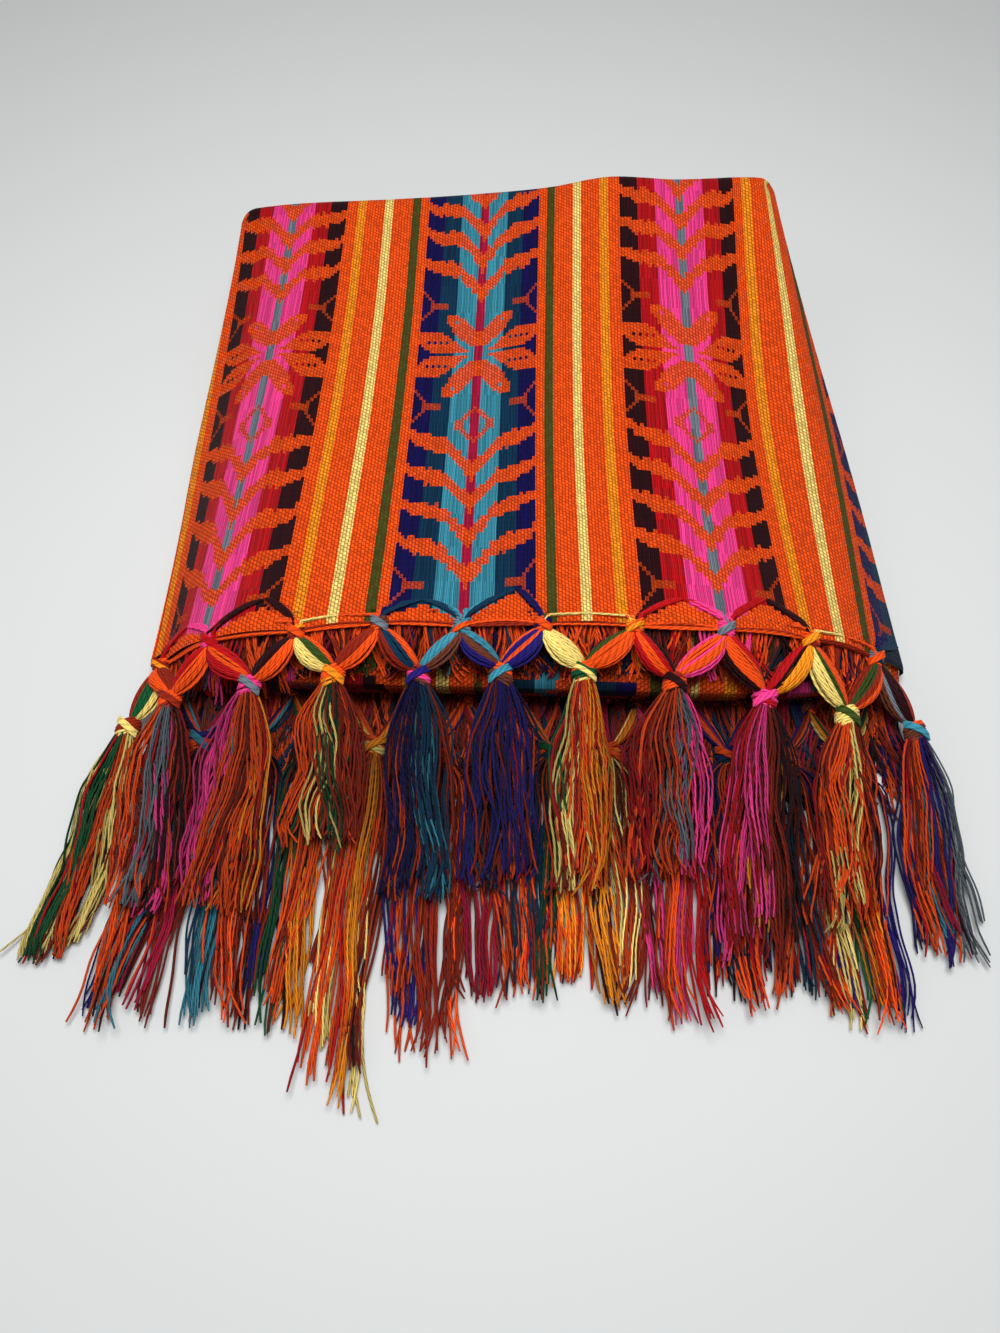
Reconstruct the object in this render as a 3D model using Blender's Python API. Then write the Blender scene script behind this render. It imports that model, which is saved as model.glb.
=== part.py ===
"""A rebozo shawl folded into a packet, with its knotted fringe spread in front of it.

The shawl is one woven panel with a knotted fringe at both ends. Folded, it is a packet that stands
on a flat underside. cloth_top is the leaf on top, a thin wall that rounds over the folds at the left,
right and back. folded_layers is all the leaves under it, with their folds showing as layered edges.
Each end of the panel has a heading, a narrow strip with the first row of knots, and its tassels: every
tassel hangs by two loops of yarn from two knots of the heading, below a knot of its own.

Metres, +Z up. +X runs along the fringed ends, to the right, and -Y points to the fringe. The origin is
in the middle of the flat underside.
"""

import math

import bmesh
import bpy
import numpy as np
from mathutils import Vector

# ---- driving dimensions

CLOTH_WALL = 0.0018  # brocaded cloth of thick acrylic yarn
PIECE_GAP = 0.0003
FRONT_Y = -0.1235  # front edge of the top leaf, where the weaving ends
SIDE_FOLD_RADIUS = 0.0045
BACK_FOLD_RADIUS = 0.0080
CORNER_RADIUS = 0.007  # rear corners, seen from above
FOLD_TURN_END = math.radians(125)  # how far the top leaf rounds under before the next leaf begins

ACROSS_CELLS = 22
ALONG_CELLS = 14
FOLD_STEPS = 4
BACK_FOLD_WIDENS_OVER = 4  # cells of the leaf's grid, from each rear corner
SHALLOWEST_FOLD_START = math.radians(-20)  # the slope where the leaf starts to round down
STEEPEST_FOLD_START = math.radians(75)
FOLD_DEPTH = CLOTH_WALL + 1.6 * PIECE_GAP  # of the next leaf's fold under the top one's face

# Middle line of the top leaf, from the front edge to where it starts to turn down at the back.
SPINE = (
    # along,  y,      z
    (0.00, FRONT_Y, 0.0458),
    (0.22, -0.066, 0.0440),
    (0.42, -0.013, 0.0434),
    (0.62, 0.040, 0.0455),
    (0.82, 0.093, 0.0515),
    (1.00, 0.139, 0.0590),
)

# Cross sections of the top leaf at the front, at the middle and at the back: a shoulder that falls
# to the table at the left, and one at the right that fades towards the back. Drops are below SPINE.
SECTIONS = (
    # stripe,        across, x_front, drop,   x_middle, drop,   x_back,  drop
    ("left fold",     0.000, -0.1610, 0.0345, -0.1665, 0.0330, -0.1515, 0.0075),
    ("left band",     0.110, -0.1345, 0.0125, -0.1315, 0.0105, -0.1250, 0.0050),
    ("left amber",    0.225, -0.0940, 0.0008, -0.0905, 0.0004, -0.0889, 0.0035),
    ("middle band",   0.425, -0.0198, 0.0000, -0.0200, 0.0000, -0.0199, -0.0005),
    ("right green",   0.529, 0.0188, 0.0000, 0.0164, 0.0000, 0.0155, -0.0040),
    ("right amber",   0.615, 0.0503, 0.0000, 0.0468, 0.0000, 0.0446, -0.0095),
    ("right band",    0.735, 0.0925, 0.0006, 0.0883, 0.0000, 0.0843, -0.0080),
    ("outer amber",   0.845, 0.1298, 0.0065, 0.1225, 0.0030, 0.1187, -0.0090),
    ("outer green",   0.935, 0.1610, 0.0195, 0.1545, 0.0115, 0.1320, -0.0085),
    ("right fold",    1.000, 0.1815, 0.0345, 0.1700, 0.0245, 0.1370, -0.0070),
)
MIDDLE_STATION = 0.42
BACK_EDGE_SHIFT_LEFT = -0.009  # the packet isn't folded square: its back edge runs askew
BACK_EDGE_SHIFT_RIGHT = 0.005

# Front of the leaves under the top one: how far each point stands out, as a part of FRONT_REACH, and
# how high, as a part of the top leaf's height. The second leaf stands out furthest.
FRONT_REACH = 0.0255
FRONT_PROFILE = (
    # reach, height
    (0.02, 0.870),
    (0.16, 0.730),
    (0.60, 0.665),
    (1.00, 0.590),
    (1.00, 0.465),
    (0.70, 0.400),
    (0.42, 0.362),
    (0.80, 0.315),
    (0.80, 0.195),
    (0.42, 0.160),
    (0.62, 0.125),
    (0.62, 0.030),
    (0.50, 0.000),
)

# The leaves that show under the top one at the sides and the back, each rounded out in a fold of its
# own. How far down its height each ring lies, and how far out, as a part of its bulge.
SIDE_LEAVES = 3
LEAF_PROFILE = (
    # down, out
    (0.28, 1.0),
    (0.74, 1.0),
    (1.00, 0.0),
)
LOWEST_LEAF_FOOT = 0.55  # how far out the lowest leaf ends on the table, as a part of its bulge
LEAF_BULGE = 0.0034
BULGE_FOR_RADIUS = 0.25  # more bulge where the top leaf's fold is wider
FATTEST_BULGE = 0.75  # as a part of the leaf's height
UNDER_GROOVE_OUT = 0.28  # where the top leaf ends, in fold radii from the fold's centre
UNDER_GROOVE_DOWN = 0.72
GROOVE_CLEARANCE = 0.0008
FOLD_TUCK = 0.85  # the next leaf draws in from the top one's end

HEADING_RADIUS = 0.0014
HEADING_KNOT_RADIUS = 0.0034
HEADING_KNOT_HALF_LENGTH = 1.6 * HEADING_KNOT_RADIUS
HEADING_SHOULDER = 1.25 * HEADING_KNOT_RADIUS  # from a knot's middle to the ring on each side of it
HEADING_SIDES = 6
TOP_HEADING_KNOTS_X = (
    -0.1560, -0.1310, -0.0925, -0.0557, -0.0202, 0.0150, 0.0545, 0.0940, 0.1320, 0.1650,
)
LOW_HEADING_Z = 0.0042
EDGE_SAMPLES = 80  # used to read the leaves' front at a given x
LEVEL_SAMPLES = 12

KNOT_LENGTH = 0.0085
KNOT_HALF_WIDTH = 0.0048
KNOT_HALF_HEIGHT = 0.0036
KNOT_PITCH = 0.35  # a knot points this part of the way down towards its tassel's tip
KNOT_PROFILE = (
    # along the knot's half length, width and height
    (-1.00, 0.45),
    (-0.35, 1.00),
    (0.45, 1.00),
    (1.00, 0.86),
)
CELL_SQUARENESS = 0.35  # how square the grid of strands stays within the knot's round front
LOOP_HALF_HEIGHT = 0.0021
LOOP_END_HALF = 0.0009
LOOP_RISE = 0.35  # how far a loop bows up, as a part of how far it bows out
LOOP_SIDE_TILT = 0.2  # loops leave the knot a little above its sides
TOP_LOOP = {"seat_gap": 0.0008, "half_width": 0.0040, "bow": 0.0035, "stations": 5}
LOW_LOOP = {"seat_gap": 0.0003, "half_width": 0.0024, "bow": 0.0008, "stations": 3}
STRAND_RADIUS = 0.00095
STRAND_SIDES = 3
STRAND_ROWS = 2
STRAND_ROW_RISE = 0.0036  # between the two rows of strands at their tips
ROW_STAGGER = 0.35  # the two rows lie beside each other, by this part of a strand's place
TIP_RAGGEDNESS = 0.007
RAGGED_TURNS = (2.4, 1.9, 40.0)  # how the raggedness goes round with column, row and knot, in radians
STRAND_SAG_POWER = 2.1

# Tassels of the upper end. They fall over the packet's front and lie on the lower end's tassels, but
# for the outer two, which reach the table.
# loops_to gives the heading's knots, and loop_lift how far up each loop ends on them.
TOP_TASSELS = (
    # knot_x, knot_y,  knot_z, tip_x,   tip_y,   tip_z,  half_spread, loops_to, loop_lift
    (-0.1695, -0.1655, 0.0078, -0.1810, -0.2640, 0.0024, 0.0105, (0,), -0.5),
    (-0.1500, -0.1555, 0.0165, -0.1455, -0.2480, 0.0108, 0.0120, (0, 1), 0.3),
    (-0.1120, -0.1535, 0.0290, -0.1180, -0.2440, 0.0108, 0.0120, (1, 2), 0.3),
    (-0.0750, -0.1500, 0.0350, -0.0780, -0.2170, 0.0112, 0.0110, (2, 3), 0.3),
    (-0.0380, -0.1495, 0.0355, -0.0360, -0.2370, 0.0112, 0.0135, (3, 4), 0.3),
    (-0.0027, -0.1475, 0.0355, 0.0010, -0.2320, 0.0112, 0.0120, (4, 5), 0.3),
    (0.0330, -0.1460, 0.0365, 0.0340, -0.2330, 0.0112, 0.0110, (5, 6), 0.3),
    (0.0720, -0.1490, 0.0350, 0.0680, -0.2270, 0.0112, 0.0120, (6, 7), 0.3),
    (0.1115, -0.1530, 0.0295, 0.1030, -0.2580, 0.0108, 0.0140, (7, 8), 0.3),
    (0.1485, -0.1565, 0.0225, 0.1400, -0.2430, 0.0108, 0.0110, (8, 9), 0.3),
    (0.1815, -0.1580, 0.0120, 0.1835, -0.2530, 0.0024, 0.0110, (9,), -0.5),
)
TOP_STRANDS_ACROSS = 5
TOP_STRAND_STATIONS = 5

# Tassels of the lower end, which lie on the table.
LOW_TASSEL_PITCH = 0.0262
LOW_FIRST_X = -0.137
LOW_KNOT_Y = -0.1700
LOW_KNOT_Z = 0.0050
LOW_TIPS = (
    # tip_x,  tip_y
    (-0.1470, -0.2900),
    (-0.1120, -0.2830),
    (-0.0840, -0.2830),
    (-0.0560, -0.3170),
    (-0.0280, -0.2950),
    (-0.0020, -0.2670),
    (0.0240, -0.2660),
    (0.0500, -0.2680),
    (0.0760, -0.2760),
    (0.1020, -0.2730),
    (0.1280, -0.2680),
    (0.1550, -0.2740),
)
LOW_TIP_Z = 0.0024
LOW_HALF_SPREAD = 0.0105
LOW_STRANDS_ACROSS = 4
LOW_STRAND_STATIONS = 3

ORANGE = (0.72, 0.07, 0.015)
RUST = (0.36, 0.05, 0.02)
PINK = (0.85, 0.06, 0.25)
NAVY = (0.03, 0.03, 0.20)
AMBER = (0.80, 0.30, 0.03)
PALE_YELLOW = (0.85, 0.68, 0.18)
TASSEL_COLOURS = (PALE_YELLOW, RUST, PINK, AMBER, NAVY, NAVY, PALE_YELLOW, RUST, PINK, ORANGE, NAVY)


# ---- small tools


def smooth(knots, values, at):
    """A smooth curve through the values at these knots, with no overshoot past the ends."""
    knots = np.asarray(knots, float)
    values = np.asarray(values, float)
    slopes = np.gradient(values, knots)
    at = float(np.clip(at, knots[0], knots[-1]))
    i = min(int(np.searchsorted(knots, at, side="right")) - 1, len(knots) - 2)
    width = knots[i + 1] - knots[i]
    k = (at - knots[i]) / width
    rise = (1 + 2 * k) * (1 - k) ** 2 * values[i] + k * k * (3 - 2 * k) * values[i + 1]
    lean = k * (1 - k) ** 2 * slopes[i] - k * k * (1 - k) * slopes[i + 1]
    return rise + width * lean


def column(table, index):
    return [row[index] for row in table]


def add_object(name, bm, colour, roughness=0.9):
    bmesh.ops.recalc_face_normals(bm, faces=bm.faces)
    if bm.calc_volume(signed=True) < 0:
        bmesh.ops.reverse_faces(bm, faces=bm.faces)
    mesh = bpy.data.meshes.new(name)
    bm.to_mesh(mesh)
    bm.free()
    obj = bpy.data.objects.new(name, mesh)
    bpy.context.scene.collection.objects.link(obj)
    material = bpy.data.materials.new(name)
    material.use_nodes = True
    shader = material.node_tree.nodes["Principled BSDF"]
    shader.inputs["Base Color"].default_value = (*colour, 1.0)
    shader.inputs["Roughness"].default_value = roughness
    shader.inputs["Metallic"].default_value = 0.0
    mesh.materials.append(material)
    mesh.shade_smooth()
    mesh.set_sharp_from_angle(angle=math.radians(50))
    return obj


def add_cell(bm, a, b, c, d):
    """A four-sided cell, split the same way each time, so that two surfaces that run parallel match."""
    bm.faces.new((a, b, c))
    bm.faces.new((a, c, d))


# ---- the packet's surface


def leaf_height(across, along):
    """Drop of the top leaf below its middle line, and its x."""
    drops = []
    places = []
    for x_column in (2, 4, 6):
        places.append(smooth(column(SECTIONS, 1), column(SECTIONS, x_column), across))
        drops.append(smooth(column(SECTIONS, 1), column(SECTIONS, x_column + 1), across))
    stations = (0.0, MIDDLE_STATION, 1.0)
    return smooth(stations, places, along), smooth(stations, drops, along)


def leaf_point(across, along):
    """A point of the top leaf's upper face. across runs from the left fold to the right one."""
    x, drop = leaf_height(across, along)
    y = smooth(column(SPINE, 0), column(SPINE, 1), along)
    z = smooth(column(SPINE, 0), column(SPINE, 2), along)
    shift = BACK_EDGE_SHIFT_LEFT + (BACK_EDGE_SHIFT_RIGHT - BACK_EDGE_SHIFT_LEFT) * across
    return Vector((x, y + shift * along**3, z - drop))


def rounded_corner(point, across, along):
    """The point, drawn in where the packet's rear corners are rounded."""
    side = leaf_point(round(across), along)
    back = leaf_point(across, 1.0)
    sign = -1 if across < 0.5 else 1
    inward_x = CORNER_RADIUS - abs(side.x - point.x)
    inward_y = CORNER_RADIUS - (back.y - point.y)
    if inward_x <= 0 or inward_y <= 0:
        return point
    shrink = max(inward_x, inward_y) / math.hypot(inward_x, inward_y) - 1
    return point + Vector((sign * inward_x * shrink, inward_y * shrink, 0))


def outward(i, j):
    """Which way is out, seen from above, at a vertex of the leaf's left, back or right edge."""
    left = i == 0
    right = i == ACROSS_CELLS
    back = j == ALONG_CELLS
    return Vector((right - left, back, 0)).normalized()


class Rim:
    """One vertex of the top leaf's edge, and the fold that rounds down from it."""

    def __init__(self, grid, i, j):
        self.out = outward(i, j)
        self.point = grid[i][j]
        inner = grid[min(max(i, 1), ACROSS_CELLS - 1)][min(j, ALONG_CELLS - 1)]
        run = (self.point - inner).to_2d().length
        slope = math.atan2(inner.z - self.point.z, run)
        self.start = min(max(slope, SHALLOWEST_FOLD_START), STEEPEST_FOLD_START)
        from_corner = min(i, ACROSS_CELLS - i) if j == ALONG_CELLS else 0
        widening = min(1.0, from_corner / BACK_FOLD_WIDENS_OVER)
        self.radius = SIDE_FOLD_RADIUS + (BACK_FOLD_RADIUS - SIDE_FOLD_RADIUS) * widening
        self.centre = (
            self.point
            - self.out * self.radius * math.sin(self.start)
            - Vector((0, 0, self.radius * math.cos(self.start)))
        )

    def at(self, step, radius):
        """A point of the fold, this many steps down from where it starts."""
        angle = self.start + (FOLD_TURN_END - self.start) * step / FOLD_STEPS
        return self.centre + self.out * radius * math.sin(angle) + Vector((0, 0, radius * math.cos(angle)))


def leaf_grid():
    grid = []
    for i in range(ACROSS_CELLS + 1):
        across = i / ACROSS_CELLS
        row = []
        for j in range(ALONG_CELLS + 1):
            along = j / ALONG_CELLS
            row.append(rounded_corner(leaf_point(across, along), across, along))
        grid.append(row)
    return grid


def edge_indices():
    """The leaf's edge from the front left round the back to the front right."""
    left = [(0, j) for j in range(ALONG_CELLS)]
    back = [(i, ALONG_CELLS) for i in range(ACROSS_CELLS + 1)]
    right = [(ACROSS_CELLS, j) for j in range(ALONG_CELLS - 1, -1, -1)]
    return left + back + right


def top_leaf_sheet(grid):
    """The leaf's upper face as an open mesh, with its folds, and the vertices of its grid and folds."""
    bm = bmesh.new()
    verts = [[bm.verts.new(point) for point in row] for row in grid]
    for i in range(ACROSS_CELLS):
        for j in range(ALONG_CELLS):
            add_cell(bm, verts[i][j], verts[i + 1][j], verts[i + 1][j + 1], verts[i][j + 1])
    edge = edge_indices()
    rings = [[verts[i][j] for i, j in edge]]
    rims = [Rim(grid, i, j) for i, j in edge]
    for step in range(1, FOLD_STEPS + 1):
        rings.append([bm.verts.new(rim.at(step, rim.radius)) for rim in rims])
    for upper, lower in zip(rings, rings[1:]):
        for k in range(len(edge) - 1):
            add_cell(bm, upper[k], upper[k + 1], lower[k + 1], lower[k])
    bmesh.ops.recalc_face_normals(bm, faces=bm.faces)
    middle = verts[ACROSS_CELLS // 2][ALONG_CELLS // 2]
    bm.normal_update()
    if middle.normal.z < 0:
        bmesh.ops.reverse_faces(bm, faces=bm.faces)
        bm.normal_update()
    return bm, verts, rings, rims


def make_cloth_top(grid):
    bm, _, _, _ = top_leaf_sheet(grid)
    outer = list(bm.verts)
    inner = {v: bm.verts.new(v.co - v.normal * CLOTH_WALL) for v in outer}
    faces = list(bm.faces)
    borders = [edge for edge in bm.edges if edge.is_boundary]
    for edge in borders:
        a, b = edge.verts
        bm.faces.new((a, b, inner[b], inner[a]))
    for face in faces:
        bm.faces.new([inner[v] for v in reversed(face.verts)])
    return add_object("cloth_top", bm, ORANGE)


# ---- the leaves under the top one


def side_profile(rim, under_fold):
    """Down the packet's side: inside the top leaf's fold, under its end, then each leaf's own fold."""
    inside = rim.radius - CLOTH_WALL - PIECE_GAP
    points = list(under_fold)
    points.append(rim.at(FOLD_STEPS - 1, FOLD_TUCK * inside))
    groove = rim.centre + rim.out * UNDER_GROOVE_OUT * rim.radius
    groove.z -= UNDER_GROOVE_DOWN * rim.radius + GROOVE_CLEARANCE
    points.append(groove)
    height = groove.z / SIDE_LEAVES
    bulge = min(LEAF_BULGE + BULGE_FOR_RADIUS * rim.radius, FATTEST_BULGE * height)
    for leaf in range(SIDE_LEAVES):
        for down, out in LEAF_PROFILE:
            point = groove + rim.out * bulge * out
            point.z = groove.z - height * (leaf + down)
            points.append(point)
    foot = groove + rim.out * bulge * LOWEST_LEAF_FOOT
    points[-1] = Vector((foot.x, foot.y, 0.0))
    return points


def front_profile(x, y, z):
    """Down the packet's front from a point of the top leaf's edge."""
    scale = z / SPINE[0][2]
    return [
        Vector((x, y - FRONT_REACH * reach * scale, z * height))
        for reach, height in FRONT_PROFILE
    ]


def corner_profile(side, front):
    """Both at once, at the packet's front corners."""
    return [Vector((a.x, b.y, (a.z + b.z) / 2)) for a, b in zip(side, front)]


def make_folded_layers(grid):
    sheet, verts, rings, rims = top_leaf_sheet(grid)
    depth = CLOTH_WALL + PIECE_GAP
    under = [[v.co - v.normal * depth for v in row] for row in verts]
    folds = [[v.co - v.normal * FOLD_DEPTH for v in ring] for ring in rings[1 : FOLD_STEPS - 1]]
    columns = [
        (i, j, side_profile(rim, [fold[k] for fold in folds]))
        for k, ((i, j), rim) in enumerate(zip(edge_indices(), rims))
    ]
    front_columns = []
    for i in range(ACROSS_CELLS, -1, -1):
        top = grid[i][0]
        front_columns.append((i, 0, front_profile(under[i][0].x, top.y, top.z)))
    right_corner = corner_profile(columns[-1][2], front_columns[0][2])
    left_corner = corner_profile(columns[0][2], front_columns[-1][2])
    columns = (
        columns
        + [(ACROSS_CELLS, 0, right_corner)]
        + front_columns
        + [(0, 0, left_corner)]
    )
    sheet.free()

    bm = bmesh.new()
    tops = [[bm.verts.new(point) for point in row] for row in under]
    for i in range(ACROSS_CELLS):
        for j in range(ALONG_CELLS):
            add_cell(bm, tops[i][j], tops[i + 1][j], tops[i + 1][j + 1], tops[i][j + 1])
    rings = [[tops[i][j] for i, j, _ in columns]]
    for k in range(len(FRONT_PROFILE)):
        rings.append([bm.verts.new(profile[k]) for _, _, profile in columns])
    count = len(columns)
    for upper, lower in zip(rings, rings[1:]):
        for k in range(count):
            following = (k + 1) % count
            if upper[k] is upper[following]:
                bm.faces.new((upper[k], lower[following], lower[k]))
            else:
                add_cell(bm, upper[k], upper[following], lower[following], lower[k])
    bm.faces.new(rings[-1])
    bmesh.ops.triangulate(bm, faces=[f for f in bm.faces if len(f.verts) > 4])
    return add_object("folded_layers", bm, RUST)


# ---- headings with their knots


def front_edge(x):
    """y and z of the top leaf's front edge at this x."""
    points = [leaf_point(k / EDGE_SAMPLES, 0.0) for k in range(EDGE_SAMPLES + 1)]
    z = float(np.interp(x, [p.x for p in points], [p.z for p in points]))
    return FRONT_Y, z


def heading_bead(x, knots):
    """Radius of a heading at x: a thin strip that swells at each knot."""
    nearest = min(abs(x - knot) for knot in knots)
    swell = max(0.0, 1 - (nearest / HEADING_KNOT_HALF_LENGTH) ** 2)
    return HEADING_RADIUS + (HEADING_KNOT_RADIUS - HEADING_RADIUS) * math.sqrt(swell)


def heading_stations(knots):
    """x of every ring of a heading: at each knot, at both its shoulders and halfway to the next."""
    stations = []
    for i, knot in enumerate(knots):
        stations += [knot - HEADING_SHOULDER, knot, knot + HEADING_SHOULDER]
        if i + 1 < len(knots):
            stations.append((knot + knots[i + 1]) / 2)
    return stations


def top_knot_centre(x):
    y, z = front_edge(x)
    return Vector((x, y - PIECE_GAP - HEADING_KNOT_RADIUS, z - CLOTH_WALL / 2))


def low_front_y(x):
    """Front of the leaves at x, up to the top of the low heading's knots."""
    _, z = front_edge(x)
    limit = (LOW_HEADING_Z + HEADING_KNOT_RADIUS) / z
    reaches = column(FRONT_PROFILE, 0)[::-1]
    heights = column(FRONT_PROFILE, 1)[::-1]
    levels = [limit * k / LEVEL_SAMPLES for k in range(LEVEL_SAMPLES + 1)]
    reach = max(float(np.interp(level, heights, reaches)) for level in levels)
    return FRONT_Y - FRONT_REACH * reach * z / SPINE[0][2]


def low_knot_centre(x):
    return Vector((x, low_front_y(x) - PIECE_GAP - HEADING_KNOT_RADIUS, LOW_HEADING_Z))


def make_heading(name, knots, edge_y, height, colour):
    """A strip along an end of the panel, PIECE_GAP in front of it, with its row of knots."""
    bm = bmesh.new()
    rings = []
    for x in heading_stations(knots):
        radius = heading_bead(x, knots)
        centre = Vector((x, edge_y(x) - PIECE_GAP - radius, height(x)))
        ring = []
        for side in range(HEADING_SIDES):
            turn = 2 * math.pi * (side + 0.5) / HEADING_SIDES
            ring.append(bm.verts.new(centre + radius * Vector((0, math.cos(turn), math.sin(turn)))))
        rings.append(ring)
    for first, second in zip(rings, rings[1:]):
        for side in range(HEADING_SIDES):
            other = (side + 1) % HEADING_SIDES
            bm.faces.new((first[side], first[other], second[other], second[side]))
    bm.faces.new(rings[0])
    bm.faces.new(rings[-1])
    return add_object(name, bm, colour)


# ---- tassels


def cell_outline(across):
    """The border of a grid of cells, across by STRAND_ROWS, as (column, row) going round once."""
    rows = STRAND_ROWS
    border = [(c, 0) for c in range(across)]
    border += [(across, r) for r in range(rows)]
    border += [(c, rows) for c in range(across, 0, -1)]
    border += [(0, r) for r in range(rows, 0, -1)]
    return border


def round_place(column_index, row_index, across):
    """A grid corner as a place in the unit disc: squares drawn towards an ellipse."""
    a = 2 * column_index / across - 1
    b = 2 * row_index / STRAND_ROWS - 1
    if a == 0 and b == 0:
        return 0.0, 0.0
    pull = max(abs(a), abs(b)) / math.hypot(a, b)
    drawn = CELL_SQUARENESS + (1 - CELL_SQUARENESS) * pull
    return a * drawn, b * drawn


class Tassel:
    """A knot with the loops that hold it and the strands under it, as one closed mesh."""

    def __init__(self, knot, aim, across):
        self.bm = bmesh.new()
        self.knot = knot
        self.across = across
        self.forward = aim.normalized()
        self.side = Vector((0, 0, 1)).cross(self.forward).normalized()
        self.up = self.forward.cross(self.side)

    def place(self, depth, a, b, scale):
        return (
            self.knot
            + self.forward * depth
            + self.side * (a * KNOT_HALF_WIDTH * scale)
            + self.up * (b * KNOT_HALF_HEIGHT * scale)
        )

    def make_knot(self):
        """Rings from the back of the knot to its front, and the front as a grid of cells."""
        border = cell_outline(self.across)
        half = KNOT_LENGTH / 2
        self.rings = []
        for depth, scale in KNOT_PROFILE:
            ring = []
            for c, r in border:
                a, b = round_place(c, r, self.across)
                ring.append(self.bm.verts.new(self.place(half * depth, a, b, scale)))
            self.rings.append(ring)
        count = len(border)
        self.bands = []
        for first, second in zip(self.rings, self.rings[1:]):
            band = []
            for k in range(count):
                other = (k + 1) % count
                band.append(self.bm.faces.new((first[k], first[other], second[other], second[k])))
            self.bands.append(band)
        self.bm.faces.new(list(reversed(self.rings[0])))
        corner = dict(zip(border, self.rings[-1]))
        for c in range(1, self.across):
            for r in range(1, STRAND_ROWS):
                a, b = round_place(c, r, self.across)
                corner[c, r] = self.bm.verts.new(self.place(half, a, b, KNOT_PROFILE[-1][1]))
        self.cells = {}
        for c in range(self.across):
            for r in range(STRAND_ROWS):
                quad = (corner[c, r], corner[c + 1, r], corner[c + 1, r + 1], corner[c, r + 1])
                self.cells[c, r] = self.bm.faces.new(quad)

    def grow(self, face, stations, shape):
        """Draws a face out along the stations, each (centre, side, up, half width, half height)."""
        base = [v for v in face.verts]
        self.bm.faces.remove(face)
        ring = base
        for centre, side, up, half_width, half_height in stations:
            corners = [centre + side * (a * half_width) + up * (b * half_height) for a, b in shape]
            made = self.best_turn(ring, corners)
            self.bridge(ring, made)
            ring = made
        self.bm.faces.new(ring)

    def best_turn(self, ring, corners):
        """New vertices at the corners, in the order and turn that follow the ring without a twist."""
        count = len(corners)
        middle = sum((v.co for v in ring), Vector()) / len(ring)
        target = sum(corners, Vector()) / count
        best = None
        for order in (1, -1):
            for offset in range(count):
                turned = [corners[(offset + order * k) % count] for k in range(count)]
                spread = 0.0
                for k, corner in enumerate(turned):
                    match = ring[k * len(ring) // count]
                    spread += ((match.co - middle) - (corner - target)).length
                if best is None or spread < best[0]:
                    best = (spread, turned)
        return [self.bm.verts.new(corner) for corner in best[1]]

    def bridge(self, ring, made):
        """Faces between two rings of the same size, or from four corners to three."""
        if len(ring) == len(made):
            for k in range(len(ring)):
                other = (k + 1) % len(ring)
                self.bm.faces.new((ring[k], ring[other], made[other], made[k]))
            return
        self.bm.faces.new((ring[0], ring[1], made[0]))
        self.bm.faces.new((ring[1], made[1], made[0]))
        self.bm.faces.new((ring[1], ring[2], made[1]))
        self.bm.faces.new((ring[2], made[2], made[1]))
        self.bm.faces.new((ring[2], ring[3], made[2]))
        self.bm.faces.new((ring[3], made[0], made[2]))
        self.bm.faces.new((ring[3], ring[0], made[0]))

    def add_loop(self, anchor, on_side, lift, seat_gap, half_width, bow, stations):
        """A leaf-shaped loop of yarns from the knot's side up to a knot of the heading.

        seat_gap is from the rim of the heading's knot to the middle of the loop's end.
        """
        want = self.side * on_side
        band = self.bands[0]
        leaving = want + LOOP_SIDE_TILT * self.up
        face = max(band, key=lambda f: f.calc_center_median().dot(leaving))
        band.remove(face)
        start = face.calc_center_median()
        back = ((start - anchor).normalized() + Vector((0, 0, lift))).normalized()
        end = anchor + back * (HEADING_KNOT_RADIUS + seat_gap)
        swing = want * bow + Vector((0, 0, LOOP_RISE * bow))
        rings = []
        for k in range(1, stations + 1):
            part = k / stations
            belly = math.sin(math.pi * part)
            centre = start.lerp(end, part) + swing * belly
            ahead = (end - start) + swing * math.pi * math.cos(math.pi * part)
            side = ahead.cross(Vector((0, 0, 1))).normalized()
            up = side.cross(ahead).normalized()
            width = LOOP_END_HALF + (half_width - LOOP_END_HALF) * belly
            height = LOOP_END_HALF + (LOOP_HALF_HEIGHT - LOOP_END_HALF) * belly
            rings.append((centre, side, up, width, height))
        diamond = ((1, 0), (0, 1), (-1, 0), (0, -1))
        self.grow(face, rings, diamond)

    def add_strands(self, tip, half_spread, station_count):
        """One strand from each cell, spreading and falling to the tassel's ragged tip."""
        turns = [math.pi / 2 + 2 * math.pi * k / STRAND_SIDES for k in range(STRAND_SIDES)]
        triangle = [(math.cos(turn), math.sin(turn)) for turn in turns]
        for (c, r), face in list(self.cells.items()):
            start = face.calc_center_median()
            place = 2 * (c + 0.5) / self.across - 1
            by_column, by_row, by_knot = RAGGED_TURNS
            ragged = TIP_RAGGEDNESS * math.sin(by_column * c + by_row * r + by_knot * self.knot.x)
            stagger = (ROW_STAGGER if r else -ROW_STAGGER) / self.across
            end = Vector((
                tip.x + (place + stagger) * half_spread,
                tip.y + ragged,
                tip.z + r * STRAND_ROW_RISE,
            ))
            stations = []
            for k in range(1, station_count + 1):
                part = k / station_count
                centre = start.lerp(end, part)
                centre.z = end.z + (start.z - end.z) * (1 - part) ** STRAND_SAG_POWER
                stations.append((centre, self.side, Vector((0, 0, 1)), STRAND_RADIUS, STRAND_RADIUS))
            self.grow(face, stations, triangle)


def make_tassel(name, knot, tip, half_spread, anchors, lift, loop, across, station_count, colour):
    aim = Vector((tip.x - knot.x, tip.y - knot.y, KNOT_PITCH * (tip.z - knot.z)))
    tassel = Tassel(knot, aim, across)
    tassel.make_knot()
    for anchor in anchors:
        towards = 1 if (anchor - knot).dot(tassel.side) > 0 else -1
        tassel.add_loop(anchor, towards, lift, **loop)
    tassel.add_strands(tip, half_spread, station_count)
    return add_object(name, tassel.bm, colour)


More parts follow.
